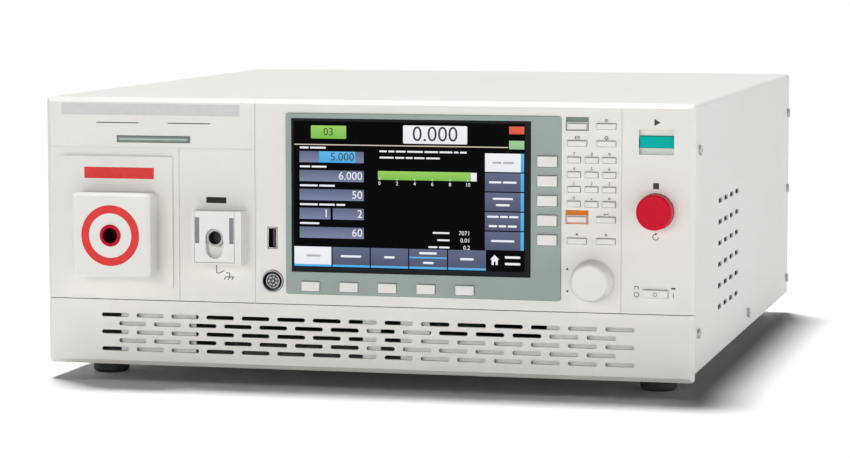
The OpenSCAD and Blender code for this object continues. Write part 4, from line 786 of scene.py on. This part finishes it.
menuWords, menuDowns = {"left": 140.6, "lengths": (10.0,), "thick": 1.5}, (86.6, 90.8)
bars = []
for top, lengths in zip(fieldTops, fieldWords["lengths"]):
    bars += wordBars(fieldWords["left"], top - fieldWords["up"], lengths, fieldWords["thick"])
for row in noteWords:
    bars += wordBars(**row)
readingDowns = [readingSet["top"] + i * readingSet["pitch"] for i in range(3)]
for down, lengths in zip(readingDowns, readingSet["lengths"]):
    bars += wordBars(readingSet["wordsRight"], down, lengths, readingSet["thick"], 1.0)
for top, rows, apart in zip(sideTops[1:], sideWords["rows"], sideWords["apart"]):
    for row, lengths in enumerate(rows):
        down = top + sideWords["down"] + (row - 0.5) * apart
        bars += wordBars(sideWords["middle"], down, lengths, sideWords["thick"], 0.5)
for left, length, down in zip(footLefts[1:], footWords["lengths"], footWords["downs"]):
    bars += wordBars(left + footWords["middle"], down, (length,), footWords["thick"], 0.5)
bars += wordBars(**secondWord)
for down in menuDowns:
    bars += wordBars(down=down, **menuWords)
screenPiece("screenLabels", bars, "White")

# A house for the home key, and the numbers
houseRoof = ((137.0, -88.2), (134.0, -85.2), (131.0, -88.2))
houseWalls = ((132.0, 88.2, 133.4, 91.6), (134.6, 88.2, 136.0, 91.6), (133.4, 88.2, 134.6, 89.4))
house = [onScreen(np.array(houseRoof), over)] + [tile(*wall, over, markRound) for wall in houseWalls]
screenPiece("screenHome", house, "White")
fieldNumber = {"height": 5.0, "right": 47.2, "leftRight": 24.8, "chosenRight": 41.8, "down": 3.6}
gaugeMarks = [gaugeSet["first"] + i * gaugeSet["step"] for i in range(gaugeSet["marks"])]
numbers = [screenNumber(str(2 * i), gaugeSet["numberHeight"], u, gaugeSet["numbers"])
           for i, u in enumerate(gaugeMarks)]
half, top, foot = gaugeSet["markHalf"], gaugeSet["markTop"], gaugeSet["markFoot"]
numbers += [tile(u - half, top, u + half, foot, over, markRound) for u in gaugeMarks]


def fieldValue(value, row, right=fieldNumber["right"]):
    return screenNumber(value, fieldNumber["height"], right, fieldTops[row] + fieldNumber["down"], text, "RIGHT")


numbers += [fieldValue("6.000", 1), fieldValue("50", 2), fieldValue("60", 4),
            fieldValue("1", 3, fieldNumber["leftRight"]), fieldValue("2", 3)]
numbers += [screenNumber(value, readingSet["height"], readingSet["right"], down, over, "RIGHT")
            for value, down in zip(readingSet["values"], readingDowns)]
screenPiece("screenNumbers", numbers, "White")
stateNumber = {"value": "0.000", "height": 9.4, "u": 95, "down": 9.4}
modeNumber = {"value": "03", "height": 4.8, "u": 24.6, "down": 8.6}
chosen = fieldValue("5.000", 0, fieldNumber["chosenRight"])
screenPiece("screenDarkNumbers", [screenNumber(**stateNumber), chosen, screenNumber(**modeNumber)], "Ink")
paleSide = {"left": 132.4, "lengths": (6.0, 7.0), "down": sideTops[0] + sideWords["down"]}   # on the white keys
paleFoot = {"left": footLefts[0] + 8.0, "lengths": (9.5,), "down": footWords["downs"][0]}
paleWords = wordBars(thick=sideWords["thick"], **paleSide) + wordBars(thick=footWords["thick"], **paleFoot)
screenPiece("screenPaleLabels", paleWords, "Silver")
print("screen drawn")

# Cross slots in the screw heads of both sides; their grey is painted shade in the recesses
screwSet = {"arm": 3.6, "width": 0.8, "radius": 0.2, "headReach": 9.9, "level": 0.03, "upright": 0.04}
screwPoints = meshPoints(nodes["cover_screws"].data)
screwFace = screwPoints[:, 0].max()
headReach = screwSet["headReach"] * mm   # rim points nearer than this belong to one head
for sideName, sign in (("right", 1), ("left", -1)):
    outer = screwPoints[np.abs(screwPoints[:, 0] * sign - screwFace) < 0.01 * mm][:, 1:]
    heads = []   # one rim point of each head
    for point in outer:
        if all(np.linalg.norm(point - head) > headReach for head in heads):
            heads.append(point)
    crosses = []
    for head in heads:
        rim = outer[np.linalg.norm(outer - head, axis=1) < headReach]
        along, up = (rim.min(0) + rim.max(0)) / 2 / mm
        arm, wide, radius = screwSet["arm"], screwSet["width"], screwSet["radius"]
        crosses += [raised(rectLoop(arm, wide, radius, along * sign, up), screwSet["level"]),
                    raised(rectLoop(wide, arm, radius, along * sign, up), screwSet["upright"])]
    # painted shade: the crosses' grey stands for the shade in the screws' recesses
    addPiece("screwSlots" + sideName.capitalize(), (screwFace * sign, 0, 0), crosses, greyInkAndShade, sideName)
print("screw slots made")

# Rear: pins in the wide sockets, contacts in the jacks, bright blades in the inlet, a slot in the fuse drawer in
# painted grey shade;
# x and z are places in the frame in mm; a depth is how far a shape's front and back stand out of the rear face
rearZero = (0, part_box("rear_panel")[1].y, 0)
inserts, contacts = [], []
wideSockets = ((-95.0, 121.0, 55.4, 19), (-95.0, 76.0, 16.9, 5))   # x, z, width, pins in the long row
wideSet = {"rim": 1.1, "slant": 1.4, "half": 3.2, "shell": 6.0, "proud": 0.05, "pinPitch": 2.77, "rowGap": 2.84,
           "pinRadius": 0.62, "pinSteps": 12, "pinProud": 0.1}
for x, z, wide, count in wideSockets:   # the shell narrows downwards; the long row of pins lies above
    half, low, shell = wide / 2 - wideSet["rim"], wideSet["half"], wideSet["shell"]
    foot = half - wideSet["slant"]
    outline = np.array([(-foot, -low), (foot, -low), (half, low), (-half, low)]) + (-x, z)
    inserts.append(raised(outline, shell + wideSet["proud"], shell - wideSet["proud"]))
    for row, pins in ((1, count), (-1, count - 1)):
        up = z + row * wideSet["rowGap"] / 2
        for u in spread(pins, wideSet["pinPitch"]):
            spot = discLoop(wideSet["pinRadius"], u - x, up, wideSet["pinSteps"])
            contacts.append(raised(spot, shell + wideSet["pinProud"], shell))


def rearBar(jack, width, height, depth, radius=0.1, right=0.0, up=0.0):   # a bar in a jack, from the jack's middle
    return raised(rectLoop(width, height, radius, right - jack["x"], jack["z"] + up), *depth)


network = {"x": -55.0, "z": 76.0, "wallOut": 5.65, "contacts": 8, "pitch": 1.02}
networkFloor = {"width": 11.6, "height": 8.0, "depth": (-11.6, -11.95)}
networkWall = {"width": 0.4, "height": 7.9, "depth": (-0.4, -11.8)}
networkContact = {"width": 0.5, "height": 0.5, "depth": (-1.2, -10.5), "up": -3.4}
inserts.append(rearBar(network, **networkFloor))
inserts += [rearBar(network, right=s * network["wallOut"], **networkWall) for s in pair]
contacts += [rearBar(network, right=right, **networkContact)
             for right in spread(network["contacts"], network["pitch"])]
squareUsb = {"x": -135.0, "z": 76.0, "contactRight": 1.4, "contactUp": 1.7}
squareFloor = {"width": 8.3, "height": 7.6, "depth": (-9.6, -9.95)}
squareTongue = {"width": 5.6, "height": 3.3, "depth": (0.04, -9.8)}
squareContact = {"width": 1.0, "height": 0.2, "depth": (-0.8, -8.0), "radius": 0.05}
inserts += [rearBar(squareUsb, **squareFloor), rearBar(squareUsb, **squareTongue)]
contacts += [rearBar(squareUsb, right=s * squareUsb["contactRight"], up=t * squareUsb["contactUp"], **squareContact)
             for s in pair for t in pair]
addPiece("rearInserts", rearZero, inserts, blackAbs, "rear")
addPiece("rearContacts", rearZero, contacts, contactGold, "rear")
inlet = {"x": 188.0, "z": 66.0, "pitch": 7.0, "ups": (7.8, 11.8, 7.8)}   # the earth blade stands higher
inletBlade = {"width": 2.1, "height": 4.1, "depth": (-3.95, -13.95), "radius": 0.4}
fuseSlot = {"width": 8.0, "height": 1.2, "depth": (3.53, 3.45), "radius": 0.3, "up": -12.0}
bladeSpots = zip(spread(3, inlet["pitch"]), inlet["ups"])
blades = [rearBar(inlet, right=right, up=up, **inletBlade) for right, up in bladeSpots]
addPiece("inletBlades", rearZero, blades, zincSteel, "rear")
# painted shade: the slot's grey stands for the shade in its recess
addPiece("fuseSlot", rearZero, [rearBar(inlet, **fuseSlot)], greyInkAndShade, "rear")
earthMark = {"u": -188.0, "v": 32.0, "width": 0.5}
earthMarks = [((-12, 4), (-12, 0)), ((-15, 0), (-9, 0)), ((-14, -1.5), (-10, -1.5)), ((-13, -3), (-11, -3))]
addPiece("earthMark", rearZero, printedLines(earthMarks, **earthMark), inkDark, "rear")
print("rear detailed")

# Floor and light
floorHalf = 60.0   # metres
floorMesh = bpy.data.meshes.new("floor")
floorCorners = [(x * floorHalf, y * floorHalf, 0) for x, y in ((-1, -1), (1, -1), (1, 1), (-1, 1))]
floorMesh.from_pydata(floorCorners, [], [(0, 1, 2, 3)])
floorMaterial, floorTree = newMaterial("palePaper", "#f9f9f9", 0.8, Specular_IOR_Level=0.1)
shadeDrift(floorTree, "#fafafa", "#f8f8f8", patch=400)   # matt white paper, all but even
floorMesh.materials.append(floorMaterial)
floor = addObject("floor", floorMesh)

softboxes = {   # place in metres, point aimed at, width and height, watts
    "keySoftbox": ((-0.7, -2.8, 0.85), (0, -0.2, 0.1), (1.4, 0.8), 19),
    "frontSoftbox": ((0.3, -3.2, 0.3), (0, 0, 0.06), (1.6, 0.5), 8),
    "sideSoftbox": ((2.9, -0.7, 0.45), (0.2, 0, 0.08), (1.4, 0.6), 16),
}
barnDoors = bpy.data.collections.new("barnDoors")   # keep the softboxes' light off the floor
barnDoors.objects.link(floor)
barnDoors.collection_objects[0].light_linking.link_state = "EXCLUDE"
for name, (place, aim, span, watts) in softboxes.items():
    lamp = bpy.data.lights.new(name, "AREA")
    lamp.shape = "RECTANGLE"
    lamp.size, lamp.size_y = span
    lamp.energy = watts
    shown = addObject(name, lamp)
    shown.location = place
    away = np.array(place) - np.array(aim)
    flat = math.hypot(away[0], away[1])
    shown.rotation_euler = (math.atan2(flat, away[2]), 0, math.atan2(away[0], -away[1]))
    shown.light_linking.receiver_collection = barnDoors
overheadSet = {"strength": 3.45, "spread": 14.0, "leanLeft": 9.0, "leanBack": 13.0}   # a broad ceiling light, degrees
overhead = bpy.data.lights.new("overhead", "SUN")
overhead.energy = overheadSet["strength"]
overhead.angle = math.radians(overheadSet["spread"])
shown = addObject("overhead", overhead)
shown.rotation_euler = (math.radians(-overheadSet["leanBack"]), math.radians(-overheadSet["leanLeft"]), 0)
roomSet = {"wall": 0.65, "ceiling": 0.02, "wallTop": 0.14, "ceilingFrom": 0.3}   # glow of the room; heights as sines
world = bpy.data.worlds.new("paleStudio")
world.use_nodes = True
room = world.node_tree
upwards = addNode(room, "SeparateXYZ", links={"Vector": objectCoords(room)}).outputs["Z"]
glow = addNode(room, "MapRange", {
    "From Min": roomSet["wallTop"], "From Max": roomSet["ceilingFrom"], "To Min": roomSet["wall"],
    "To Max": roomSet["ceiling"]}, {"Value": upwards})
room.links.new(glow.outputs["Result"], room.nodes["Background"].inputs["Strength"])
room.nodes["Background"].inputs["Color"].default_value = toLinear("#ffffff")
bpy.context.scene.world = world
print("stage lit")
